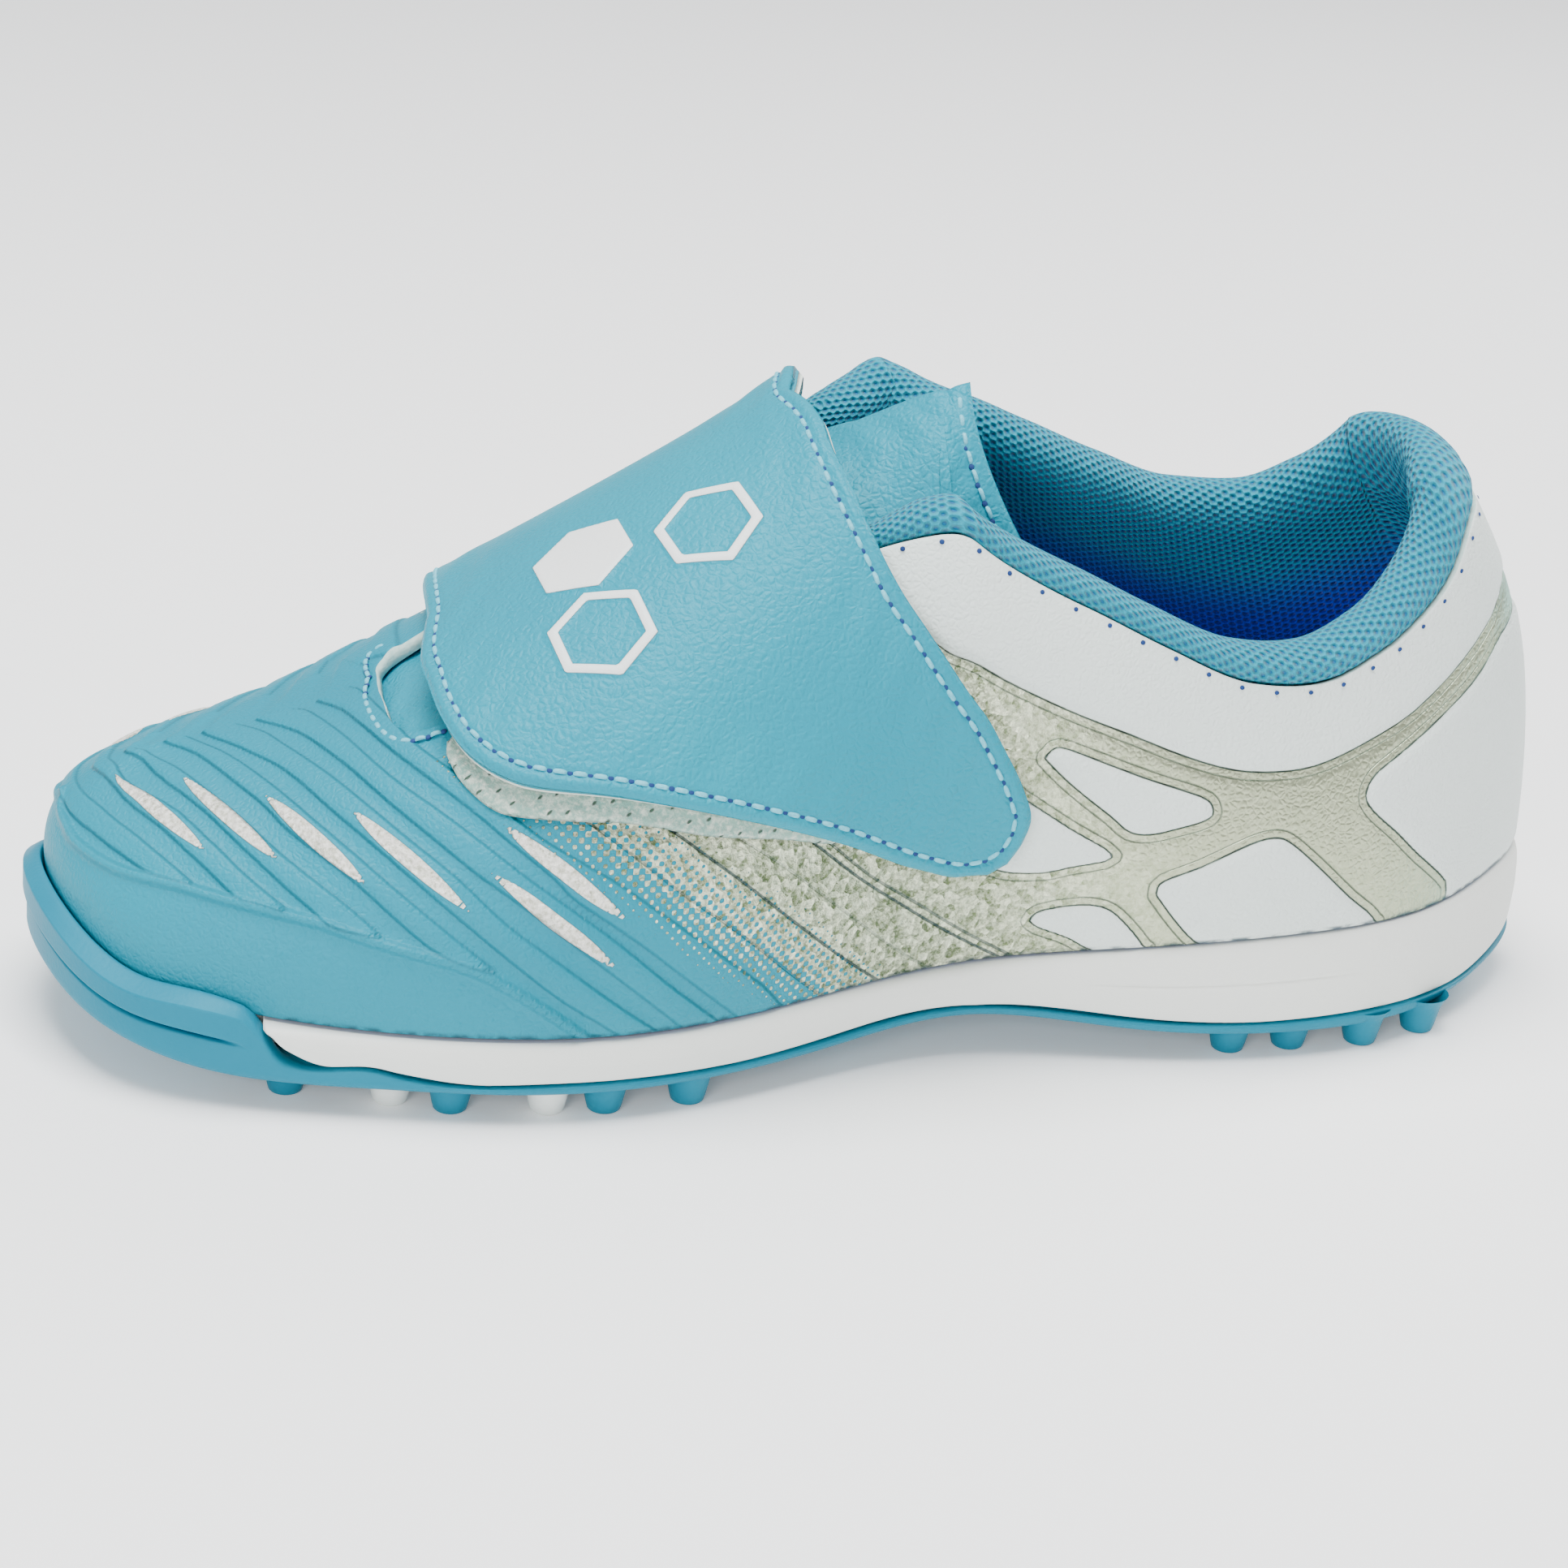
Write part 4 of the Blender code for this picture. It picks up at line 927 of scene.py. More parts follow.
normal = (skin(columns[None, :] + 0 * share, share, 0.001) - body) * 1000
puff = 0.35 * np.sin(station * 2.1 + share * 9) * np.sin(share * 7 + 1) * step_of(station - 6.8, 1.5)
far_side = np.where((columns > STATIONS)[None, :], np.clip((1 - share) / 0.16, 0, 1), 1.0)
far_side = np.where(station < 3.6, far_side, 1.0)
outer = body + normal * (mirrored(relief) * far_side + 0.35 * puff)[..., None] * 0.001
inner_climb = np.linspace(1.0, 0.03, INNER_ROWS)[:, None]
inner_share = inner_climb * (1 - (1 - edge) * inner_climb ** late)
level = heights(columns)[2]
inner = skin(columns[None, :] + 0 * inner_share, inner_share, -WALL)
inner[..., 2] = np.maximum(inner[..., 2], level + WALL + 0.0006)
inset = foot_inset(columns)
under = np.stack((
    level_ring(columns, inset + WALL + 0.0016, level + WALL),
    level_ring(columns, inset + LASTING_MARGIN, level + WALL),
    level_ring(columns, inset + LASTING_MARGIN, level),
    level_ring(columns, inset + 0.0012, level),
    level_ring(columns, inset + 0.0002, level + 0.0003),
))
stack = np.concatenate((outer, inner, under))
rows, count = stack.shape[:2]
quads = np.array(band_faces(rows, count, 0, True))
row_of = quads[:, 0] // count
column_of = quads[:, 0] % count
closed = (edge[column_of] > 0.9999) & (edge[(column_of + 1) % count] > 0.9999)
keep = ~((row_of == OUTER_ROWS - 1) & closed)
wrap = np.stack((np.arange(count) + (rows - 1) * count, (np.arange(count) + 1) % count + (rows - 1) * count,
                 (np.arange(count) + 1) % count, np.arange(count)), -1)
rim = (row_of == OUTER_ROWS - 1)[keep]
lining = (row_of >= OUTER_ROWS)[keep]
quads = np.concatenate((quads[keep], wrap))
choice = np.concatenate((np.where(rim, 1, np.where(lining, 2, 0)), np.zeros(count, int)))
along = np.linalg.norm(np.diff(body[30], axis=0), axis=1)
along = np.concatenate(([0], np.cumsum(along)))[:HALF]
climbed = np.linalg.norm(np.diff(half_body, axis=0), axis=2)
height = np.concatenate((np.zeros((1, HALF)), np.cumsum(climbed, 0)))
chart = np.stack((mirrored(along[None, :] + 0 * height), mirrored(height), 0 * share), -1) * 1000


def padded_rows(values, fill):
    """Pattern values for the outer rows, with one fill value for the rows inside."""
    rest = np.full((rows - OUTER_ROWS, count), fill)
    return np.concatenate((values, rest)).ravel()


values = {
    "ribs": padded_rows(np.where(far_side < 1, -9, mirrored(ribs)), -9),
    "leaves": padded_rows(mirrored(leaves), -9),
    "coat": padded_rows(mirrored(coat), -9),
    "foil": padded_rows(mirrored(foil), -9),
    "cover": padded_rows(mirrored(cover), 0),
    "pipe": padded_rows(mirrored(pipe), 9),
    "foot": padded_rows(mirrored(height) * 1000, 9),
    "station": padded_rows(station, 0),
    "chart": np.concatenate((chart.reshape(-1, 3), np.zeros(((rows - OUTER_ROWS) * count, 3)))),
}

for label, seam_gap in seams.items():
    values[label] = padded_rows(mirrored(seam_gap), 9)

# Leather grain shared by the upper and the strap: small pebbles and finer wrinkles
grain = bpy.data.node_groups.new("leather_grain", "ShaderNodeTree")
grain.interface.new_socket("Vector", in_out="INPUT", socket_type="NodeSocketVector")
grain.interface.new_socket("Size", in_out="INPUT", socket_type="NodeSocketFloat")
grain.interface.new_socket("Height", in_out="OUTPUT", socket_type="NodeSocketFloat")
grain.interface.new_socket("Cloud", in_out="OUTPUT", socket_type="NodeSocketFloat")
enter = grain.nodes.new("NodeGroupInput")
leave = grain.nodes.new("NodeGroupOutput")
bend = node(grain, "ShaderNodeTexNoise", {"Vector": enter.outputs[0], "Scale": 260.0, "Detail": 2.0})
shift = node(grain, "ShaderNodeVectorMath", {0: bend.outputs[1], 3: 0.0012}, operation="SCALE")
moved = node(grain, "ShaderNodeVectorMath", {0: enter.outputs[0], 1: shift.outputs[0]}, operation="ADD")
pebble = node(grain, "ShaderNodeTexVoronoi", {"Vector": moved.outputs[0], "Scale": enter.outputs[1]},
              feature="DISTANCE_TO_EDGE")
wrinkle = node(grain, "ShaderNodeTexNoise", {"Vector": moved.outputs[0], "Scale": 1500.0, "Detail": 3.0,
                                             "Roughness": 0.55})
cloud = node(grain, "ShaderNodeTexNoise", {"Vector": enter.outputs[0], "Scale": 34.0, "Detail": 2.0})
crease = ramp(grain, pebble.outputs["Distance"], 0.0, 0.32)
total = calc(grain, "MULTIPLY_ADD", crease, 0.42, calc(grain, "MULTIPLY", wrinkle.outputs[0], 0.85))
grain.links.new(total, leave.inputs[0])
grain.links.new(cloud.outputs[0], leave.inputs[1])


def grained(tree, vector, size):
    """Height and cloud of the shared leather grain."""
    made = tree.nodes.new("ShaderNodeGroup")
    made.node_tree = grain
    tree.links.new(vector, made.inputs[0])
    made.inputs[1].default_value = size
    return made.outputs[0], made.outputs[1]


BLUE = (0.0, 0.245, 0.335, 1)
BLUE_DEEP = (0.0, 0.195, 0.280, 1)
COATED, tree, shader, spot = new_material("coated_upper")
paper = node(tree, "ShaderNodeAttribute", attribute_name="chart").outputs["Vector"]
height, cloud = grained(tree, spot, 1150.0)
blue = blend_colour(tree, cloud, BLUE_DEEP, BLUE)
# Painted shade: a blotchy dark band along the upper's lowest edge, where it meets the midsole.
foot_line = calc(tree, "SUBTRACT", 1.0, ramp(tree, attribute(tree, "foot"), 0.1, 0.8))
blotch = noise(tree, spot, 420.0, 3.0)
foot_line = calc(tree, "MULTIPLY", foot_line, ramp(tree, blotch, 0.35, 0.6))
wave = []
for direction in ((3.95, 3.95, 0), (3.95, -3.95, 0)):
    turned = node(tree, "ShaderNodeVectorMath", {0: paper, 1: direction}, operation="DOT_PRODUCT")
    wave.append(calc(tree, "COSINE", turned.outputs["Value"]))
lattice = calc(tree, "ADD", wave[0], wave[1])
jitter = noise(tree, spot, 900.0, 1.0)
lattice = calc(tree, "ADD", lattice, calc(tree, "MULTIPLY_ADD", jitter, 1.2, -0.6))
amount = calc(tree, "MULTIPLY_ADD", attribute(tree, "cover"), -4.9, 2.35)
dots = ramp(tree, calc(tree, "SUBTRACT", lattice, amount), -0.12, 0.12)
in_foil = ramp(tree, attribute(tree, "foil"), -0.05, 0.05)
coat_mask = ramp(tree, attribute(tree, "coat"), -0.06, 0.06)
rear = ramp(tree, attribute(tree, "station"), 6.2, 6.6)
silver = calc(tree, "MULTIPLY", dots, in_foil)
leaf_mask = ramp(tree, attribute(tree, "leaves"), -0.05, 0.05)
flake = node(tree, "ShaderNodeTexNoise", {"Vector": spot, "Scale": 1500.0, "Detail": 4.0, "Roughness": 0.75})
crinkle = node(tree, "ShaderNodeTexVoronoi", {"Vector": spot, "Scale": 1000.0}, feature="F1")
front_foil = calc(tree, "SUBTRACT", 1.0, ramp(tree, attribute(tree, "station"), 7.6, 9.6))
facet = node(tree, "ShaderNodeSeparateColor", {0: crinkle.outputs["Color"]}).outputs[0]
facet = calc(tree, "MULTIPLY_ADD", ramp(tree, flake.outputs[0], 0.35, 0.62), 0.45,
             calc(tree, "MULTIPLY", facet, 0.55))
# Painted glints: the silver's colour speckles from dark olive to pale, strongest and brightest on the
# crinkled foil at the front, in place of reflections off its crinkles.
painted_glint = calc(tree, "MULTIPLY_ADD", calc(tree, "SUBTRACT", facet, 0.5),
               calc(tree, "MULTIPLY_ADD", front_foil, 1.25, 0.14), 0.5)
foil_light = blend_colour(tree, front_foil, (0.64, 0.66, 0.50, 1), (0.95, 1.0, 0.76, 1))
silver_colour = blend_colour(tree, painted_glint, (0.17, 0.22, 0.10, 1), foil_light)
leaf_colour = blend_colour(tree, ramp(tree, flake.outputs[0], 0.3, 0.6),
                           (0.46, 0.47, 0.36, 1), (0.88, 0.86, 0.80, 1))
pale = blend_colour(tree, cloud, (0.66, 0.73, 0.70, 1), (0.74, 0.80, 0.77, 1))
colour = blend_colour(tree, silver, blue, silver_colour)
white_mask = calc(tree, "MULTIPLY", coat_mask, rear)
colour = blend_colour(tree, white_mask, colour, pale)
colour = blend_colour(tree, leaf_mask, colour, leaf_colour)
# Painted shade in the grooves round the rims of the white panels and windows; the same mask also sinks them
# in the bump.
edge_value = attribute(tree, "coat")
rim_in = calc(tree, "MULTIPLY", ramp(tree, edge_value, -0.28, -0.12),
              calc(tree, "SUBTRACT", 1.0, ramp(tree, edge_value, -0.12, 0.04)))
rim_out = calc(tree, "MULTIPLY", ramp(tree, edge_value, -1.40, -1.25),
               calc(tree, "SUBTRACT", 1.0, ramp(tree, edge_value, -1.25, -1.10)))
pressed = calc(tree, "MULTIPLY", calc(tree, "MULTIPLY_ADD", rim_out, 0.55, rim_in), rear)
# Painted shade along the foot of each rib, just outside its raised edge.
rib_value = attribute(tree, "ribs")
rib_foot_shade = calc(tree, "MULTIPLY", ramp(tree, rib_value, -0.45, -0.15),
                calc(tree, "SUBTRACT", 1.0, ramp(tree, rib_value, -0.15, 0.15)))
# Painted shade in the thin pressed lines through the dots; the same mask also sinks them in the bump.
line_mask = 0.0
for number, (line, strength) in enumerate(GROOVE_TABLE):
    gap_here = calc(tree, "ABSOLUTE", attribute(tree, "groove_%d" % number))
    thin = calc(tree, "SUBTRACT", 1.0, ramp(tree, gap_here, 0.10, 0.26))
    line_mask = calc(tree, "MAXIMUM", calc(tree, "MULTIPLY", thin, strength), line_mask)
# All the painted shade of the upper, mixed into the base colour towards blue-black.
painted_shade = calc(tree, "MAXIMUM", calc(tree, "MULTIPLY", pressed, 0.85),
             calc(tree, "MAXIMUM", calc(tree, "MULTIPLY", line_mask, 0.80),
                  calc(tree, "MULTIPLY", foot_line, 0.85)))
painted_shade = calc(tree, "MAXIMUM", painted_shade, calc(tree, "MULTIPLY", rib_foot_shade, 0.30))
colour = blend_colour(tree, painted_shade, colour, (0.012, 0.045, 0.070, 1))
tree.links.new(colour, shader.inputs["Base Color"])
metal = calc(tree, "MAXIMUM", calc(tree, "MULTIPLY", silver, calc(tree, "SUBTRACT", 1.0, white_mask)),
             calc(tree, "MULTIPLY", leaf_mask, 0.5))
tree.links.new(calc(tree, "MULTIPLY", metal, 0.85), shader.inputs["Metallic"])
rough = calc(tree, "MULTIPLY_ADD", metal, -0.14, 0.44)
tree.links.new(calc(tree, "MULTIPLY_ADD", cloud, 0.08, rough), shader.inputs["Roughness"])
rumple = calc(tree, "SUBTRACT", 1.0, ramp(tree, attribute(tree, "station"), 7.2, 9.4))
rumple = calc(tree, "MULTIPLY", calc(tree, "MULTIPLY", metal, rumple), 3.4)
foil_height = calc(tree, "MULTIPLY", calc(tree, "ADD", flake.outputs[0], crinkle.outputs["Distance"]), rumple)
total = calc(tree, "MULTIPLY_ADD", height, 0.55, foil_height)
total = calc(tree, "MULTIPLY_ADD", ramp(tree, rib_value, -0.25, 0.25), 1.6, total)
total = calc(tree, "MULTIPLY_ADD", ramp(tree, attribute(tree, "leaves"), -0.12, 0.12), 0.5, total)
piping = calc(tree, "SUBTRACT", 1.0, ramp(tree, attribute(tree, "pipe"), 0.2, 1.0))
total = calc(tree, "MULTIPLY_ADD", piping, 2.2, total)
total = calc(tree, "MULTIPLY_ADD", line_mask, -1.8, total)
total = calc(tree, "MULTIPLY_ADD", pressed, -1.6, total)
emboss(tree, shader, total, 0.8, 0.0003)
shader.inputs["Specular IOR Level"].default_value = 0.32
shader.inputs["Specular Tint"].default_value = (0.55, 0.90, 1.0, 1)

CUT_EDGE, tree, shader, spot = new_material("cut_edge")
fuzz = noise(tree, spot, 1400.0, 3.0)
tint(tree, shader, fuzz, (0.30, 0.52, 0.50, 1), (0.66, 0.76, 0.70, 1))
shader.inputs["Roughness"].default_value = 0.9
emboss(tree, shader, fuzz, 0.6, 0.0003)

LINING, tree, shader, spot = new_material("inner_lining")
knit = node(tree, "ShaderNodeTexVoronoi", {"Vector": spot, "Scale": 1100.0, "Randomness": 0.3})
knit = knit.outputs["Distance"]
tint(tree, shader, knit, (0.004, 0.10, 0.42, 1), (0.001, 0.010, 0.17, 1))
shader.inputs["Roughness"].default_value = 0.9
emboss(tree, shader, knit, 0.6, 0.0003)

upper = place_mesh("upper_shell", stack.reshape(-1, 3), quads.tolist(), [COATED, CUT_EDGE, LINING],
                   weld=True, values=values, choice=choice)
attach(upper, "root")
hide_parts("upper")

# Tongue
# A padded blue leather tab with a mesh back, sewn in under the front of the throat. Its top
# stands free inside the collar, with a turned edge and one row of stitches.

TONGUE_THICK = 0.0032
TONGUE_EDGE = 0.0012
TONGUE_TABLE = (
    # medial station, medial across, lateral station, lateral across, medial depth, lateral depth
    (3.20, -0.140, 3.20, 0.200, 0.0023, 0.0023),
    (3.60, -0.160, 3.60, 0.290, 0.0023, 0.0023),
    (4.20, -0.180, 4.20, 0.350, 0.0024, 0.0024),
    (5.00, -0.210, 5.00, 0.370, 0.0024, 0.0025),
    (5.90, -0.230, 6.00, 0.395, 0.0026, 0.0034),
    (6.50, -0.180, 6.65, 0.410, 0.0034, 0.0060),
    (6.95, -0.075, 7.30, 0.400, 0.0046, 0.0086),
    (7.46, 0.020, 7.95, 0.400, 0.0055, 0.0092),
    (8.00, 0.075, 8.50, 0.400, 0.0060, 0.0094),
    (8.40, 0.096, 8.95, 0.400, 0.0060, 0.0094),
)


def across_skin(station, across, lift):
    """Point over the instep: across is the share from the crest, + to the lateral side."""
    where = np.where(across >= 0, station, ROUND - station)
    return skin(where, 1 - np.abs(across), lift)


def sheet_points(outer, inner):
    """Closed sheet: the outer grid, a round edge and the inner grid, as rings of one strip."""
    rows, columns = outer.shape[:2]
    points = np.concatenate((outer.reshape(-1, 3), inner.reshape(-1, 3)))
    half = rows * columns
    faces = band_faces(rows, columns)
    faces += [[half + q for q in face[::-1]] for face in band_faces(rows, columns)]
    row = np.arange(rows - 1)
    for column in (0, columns - 1):
        a = row * columns + column
        quad = np.stack((a, a + columns, a + columns + half, a + half), -1)
        faces += (quad if column else quad[:, ::-1]).tolist()
    column = np.arange(columns - 1)
    for row in (0, rows - 1):
        a = row * columns + column
        quad = np.stack((a, a + 1, a + 1 + half, a + half), -1)
        faces += (quad[:, ::-1] if row else quad).tolist()
    return points, faces


def reach_in(grid):
    """Distance from the ends, from the sides, down and over: summed steps along the grid, in metres."""
    stride = np.linalg.norm(np.diff(grid, axis=0), axis=2)
    pace = np.linalg.norm(np.diff(grid, axis=1), axis=2)
    down = np.concatenate((np.zeros((1, grid.shape[1])), np.cumsum(stride, 0)))
    over = np.concatenate((np.zeros((grid.shape[0], 1)), np.cumsum(pace, 1)), 1)
    return np.minimum(down, down[-1:] - down), np.minimum(over, over[:, -1:] - over), down, over


TONGUE = np.array(TONGUE_TABLE)
TONGUE_ROWS = 150
TONGUE_COLUMNS = 70


def tongue_at(place, span):
    """Station, share across and depth: the table's medial and lateral values mixed by span."""
    line = [smooth(place, np.arange(len(TONGUE)), TONGUE[:, column]) for column in range(6)]
    return [line[first] + (line[last] - line[first]) * span for first, last in ((0, 2), (1, 3), (4, 5))]


place = np.linspace(0, len(TONGUE) - 1, TONGUE_ROWS)[:, None]
span = np.linspace(0, 1, TONGUE_COLUMNS)[None, :]
tongue_station, across, depth = tongue_at(place, span)
swell = (1 - (2 * span - 1) ** 4) * np.clip(place / 1.5, 0.2, 1)
pad = TONGUE_EDGE + (TONGUE_THICK - TONGUE_EDGE) * swell
flat = across_skin(tongue_station, across, -depth)
ends, sides, down, over = reach_in(flat)
near = np.minimum(ends, sides)
round_edge = 0.0005 * (1 - np.clip(near / 0.0009, 0, 1)) ** 2
dimple = 0.00025 * np.exp(-((down[-1:] - down - 0.0032) / 0.0007) ** 2)
fold_wave = 0.00018 * np.sin(down * 1000 * 1.1 + over * 1000 * 0.35) * np.clip(near / 0.006, 0, 1)
top = across_skin(tongue_station, across, -depth - round_edge - dimple + fold_wave * 0.6)
low = across_skin(tongue_station, across, -depth - pad + round_edge)
points, faces = sheet_points(top, low)
chart = np.stack((down, over, 0 * down), -1).reshape(-1, 3) * 1000

STRAP_COAT, tree, shader, spot = new_material("strap_coat")
height, cloud = grained(tree, spot, 950.0)
blue = blend_colour(tree, cloud, (0.0, 0.215, 0.310, 1), (0.0, 0.275, 0.365, 1))
badge_mask = ramp(tree, attribute(tree, "badge"), -0.06, 0.06)
tree.links.new(blend_colour(tree, badge_mask, blue, (0.78, 0.80, 0.79, 1)), shader.inputs["Base Color"])
tree.links.new(calc(tree, "MULTIPLY_ADD", cloud, 0.12, 0.36), shader.inputs["Roughness"])
total = calc(tree, "MULTIPLY_ADD", height, calc(tree, "MULTIPLY_ADD", badge_mask, -0.6, 0.75),
             calc(tree, "MULTIPLY", badge_mask, 1.2))
emboss(tree, shader, total, 0.75, 0.0003)
shader.inputs["Specular IOR Level"].default_value = 0.34
shader.inputs["Specular Tint"].default_value = (0.45, 0.88, 1.0, 1)

tongue = place_mesh("tongue_pad", points, faces, [STRAP_COAT, LINING],
                    values={"chart": np.concatenate((chart, chart)), "badge": np.full(len(points), -9.0)},
                    choice=np.arange(len(faces)) >= (TONGUE_ROWS - 1) * (TONGUE_COLUMNS - 1))
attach(tongue, "root")
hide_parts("tongue")

# Collar
# A roll of foam under blue spacer mesh, sewn to the top line and turned down inside as the
# lining. The mesh is knitted with small deep cells about a millimetre apart.

COLLAR_TABLE = (
    # rise along the wall, depth inwards, millimetres from the wall's edge
    (0.4, 0.0),
    (2.2, -0.9),
    (4.4, -0.1),
    (5.9, 2.0),
    (5.9, 4.4),
    (4.0, 6.4),
    (0.0, 7.0),
    (-7.0, 5.8),
    (-15.0, 4.6),
    (-23.0, 3.6),
    (-23.0, 2.4),
    (-12.0, 2.4),
    (-1.0, 2.4),
    (0.4, 2.0),
)
COLLAR_FRONT = 6.65
HEEL_ROLL = 0.78
knots = np.array(COLLAR_TABLE)
fine = []
for a, b, c, d in zip(np.roll(knots, 1, 0), knots, np.roll(knots, -1, 0), np.roll(knots, -2, 0)):
    t = (np.arange(5) / 5)[:, None]
    cubic = 2 * b + (c - a) * t + (2 * a - 5 * b + 4 * c - d) * t ** 2 + (3 * b - a - 3 * c + d) * t ** 3
    fine.append(cubic / 2)
profile = np.concatenate(fine) * 0.001
place = np.linspace(COLLAR_FRONT + 0.02, ROUND - COLLAR_FRONT - 0.02, 420)
edge_here = edge_share(place)
grade = np.linalg.norm(meridian(place, edge_here + 0.01) - meridian(place, edge_here - 0.01), axis=-1) / 0.02
fade = np.minimum(place - COLLAR_FRONT, ROUND - COLLAR_FRONT - place)
plump = 0.45 + 0.55 * np.clip(fade / 0.7, 0, 1)
tall = 1 + HEEL_ROLL * smooth(fade, (4.2, 6.2), (0.0, 1.0))
up = profile[:, 0:1]
inward = profile[:, 1:2]
roll = np.where(up > 0.0004, plump, 1.0)
at = edge_here + up * roll * np.where(up > 0, tall, 1) / grade
deep = np.where(inward < 0, inward * roll, 0.0023 + (inward - 0.0023) * plump)
deep = np.where(inward > 0.0022, deep, inward * roll)
pucker = 0.00012 * np.sin(place * 38.0) * np.exp(-((up - 0.0015) / 0.0016) ** 2)
grid = skin(place + 0 * up, at, -deep + pucker)
rows, count = grid.shape[:2]
quads = band_faces(count, rows, 0, True)
points = grid.transpose(1, 0, 2).reshape(-1, 3)
faces = quads + [list(range(rows)), list(range((count - 1) * rows, count * rows))[::-1]]
along = np.concatenate(([0], np.cumsum(np.linalg.norm(np.diff(grid[20], axis=0), axis=1))))
round_way = np.concatenate(([0], np.cumsum(np.linalg.norm(np.diff(profile, axis=0), axis=1))))
chart = np.stack((along[:, None] + 0 * round_way, round_way[None, :] + 0 * along[:, None],
                  0 * along[:, None] + 0 * round_way), -1).reshape(-1, 3) * 1000
# Depth below the collar's top inside the shoe, in millimetres: it sets the painted shade of the mesh.
below = np.clip(-(up - 0.002) * 1000, 0, 25)
below = np.where(inward > 0.0021, below, 0)
sunk = np.broadcast_to(below, grid.shape[:2]).T.ravel()

SPACER, tree, shader, spot = new_material("spacer_mesh")
paper = node(tree, "ShaderNodeAttribute", attribute_name="chart").outputs["Vector"]
wave = []
for direction in ((6.2, 0.0, 0), (3.1, 5.37, 0), (-3.1, 5.37, 0)):
    turned = node(tree, "ShaderNodeVectorMath", {0: paper, 1: direction}, operation="DOT_PRODUCT")
    wave.append(calc(tree, "COSINE", turned.outputs["Value"]))
cells = calc(tree, "ADD", calc(tree, "ADD", wave[0], wave[1]), wave[2])
jitter = noise(tree, spot, 1300.0, 2.0)
cells = calc(tree, "ADD", cells, calc(tree, "MULTIPLY_ADD", jitter, 1.6, -0.8))
# Painted shade: deeper inside the shoe the yarn turns dark navy and the dark pits spread.
interior_shade = ramp(tree, attribute(tree, "sunk"), 8.0, 22.0)
limit = calc(tree, "MULTIPLY_ADD", interior_shade, -1.6, 1.15)
pit = ramp(tree, calc(tree, "SUBTRACT", cells, limit), -0.5, 0.7)
yarn = blend_colour(tree, interior_shade, (0.001, 0.290, 0.400, 1), (0.0, 0.030, 0.520, 1))
# Painted shade: the pits of the cells are coloured darker, for the shade inside them.
pit_shade_colour = blend_colour(tree, interior_shade, (0.001, 0.140, 0.300, 1), (0.0, 0.001, 0.320, 1))
colour = blend_colour(tree, pit, yarn, pit_shade_colour)
tree.links.new(colour, shader.inputs["Base Color"])
shader.inputs["Roughness"].default_value = 0.85
shader.inputs["Sheen Weight"].default_value = 0.12
shader.inputs["Specular Tint"].default_value = (0.30, 0.70, 1.0, 1)
emboss(tree, shader, calc(tree, "MULTIPLY", cells, -1.0), 0.8, 0.0003)
collar = place_mesh("collar_roll", points, faces, [SPACER], values={"chart": chart, "sunk": sunk})
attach(collar, "root")
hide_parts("collar")

# Loop patch
# The fuzzy half of the fastening: a pale felted panel with rows of pinholes, sewn flat on
# the lateral side. Only its lower edge shows below the strap.

PATCH_THICK = 0.0009
PATCH_LIFT = 0.00045
PATCH_TABLE = (
    # station, across at the upper edge, across at the lower edge
    (4.33, 0.345, 0.375),
    (4.40, 0.335, 0.430),
    (4.52, 0.335, 0.490),
    (4.68, 0.345, 0.542),
    (5.07, 0.360, 0.593),
    (5.39, 0.380, 0.624),
    (5.95, 0.420, 0.688),
    (6.40, 0.460, 0.722),
    (6.83, 0.500, 0.752),
    (7.00, 0.540, 0.720),
)
PATCH = np.array(PATCH_TABLE)
knots = np.arange(len(PATCH))
place = np.linspace(0, len(PATCH) - 1, 150)[:, None]
span = np.linspace(0, 1, 70)[None, :]
patch_station = smooth(place, knots, PATCH[:, 0]) + 0 * span
high = smooth(place, knots, PATCH[:, 1])
across = high + (smooth(place, knots, PATCH[:, 2]) - high) * span
flat = across_skin(patch_station, across, PATCH_LIFT + 0 * span)
ends, sides, down, over = reach_in(flat)
near = np.minimum(ends, sides)
dust = np.random.default_rng(5)
tuft = dust.normal(0, 0.00005, near.shape)
thick = PATCH_THICK * (0.35 + 0.65 * np.clip(near / 0.0007, 0, 1) ** 0.5) + tuft
top = across_skin(patch_station, across, PATCH_LIFT + thick)
points, faces = sheet_points(top, flat)
chart = np.stack((down, over, 0 * down), -1).reshape(-1, 3) * 1000
FELT, tree, shader, spot = new_material("loop_fabric")
paper = node(tree, "ShaderNodeAttribute", attribute_name="chart").outputs["Vector"]
fuzz = noise(tree, spot, 1300.0, 5.0, 0.7)
cloud = noise(tree, spot, 160.0, 2.0)
pins = node(tree, "ShaderNodeTexVoronoi", {"Vector": paper, "Scale": 0.42, "Randomness": 0.25},
            voronoi_dimensions="2D").outputs["Distance"]
hole = calc(tree, "SUBTRACT", 1.0, ramp(tree, pins, 0.07, 0.12))
base = blend_colour(tree, cloud, (0.10, 0.30, 0.26, 1), (0.34, 0.48, 0.40, 1))
base = blend_colour(tree, ramp(tree, fuzz, 0.40, 0.72), base, (0.66, 0.72, 0.62, 1))
# Painted shade: the pinholes are coloured near-black for the shade inside them; the same mask also sinks them
# in the bump.
tree.links.new(blend_colour(tree, hole, base, (0.03, 0.08, 0.05, 1)), shader.inputs["Base Color"])
shader.inputs["Roughness"].default_value = 0.95
shader.inputs["Sheen Weight"].default_value = 0.5
total = calc(tree, "MULTIPLY_ADD", hole, -1.5, fuzz)
emboss(tree, shader, total, 0.9, 0.0003)
patch = place_mesh("loop_panel", points, faces, [FELT], values={"chart": np.concatenate((chart, chart))})
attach(patch, "root")
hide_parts("loop_patch")

# Strap
# Blue coated leather over pale felt, sewn on the medial side, laid over the tongue and
# pressed on the loop patch. A raised white group of hexagons is welded on its top.

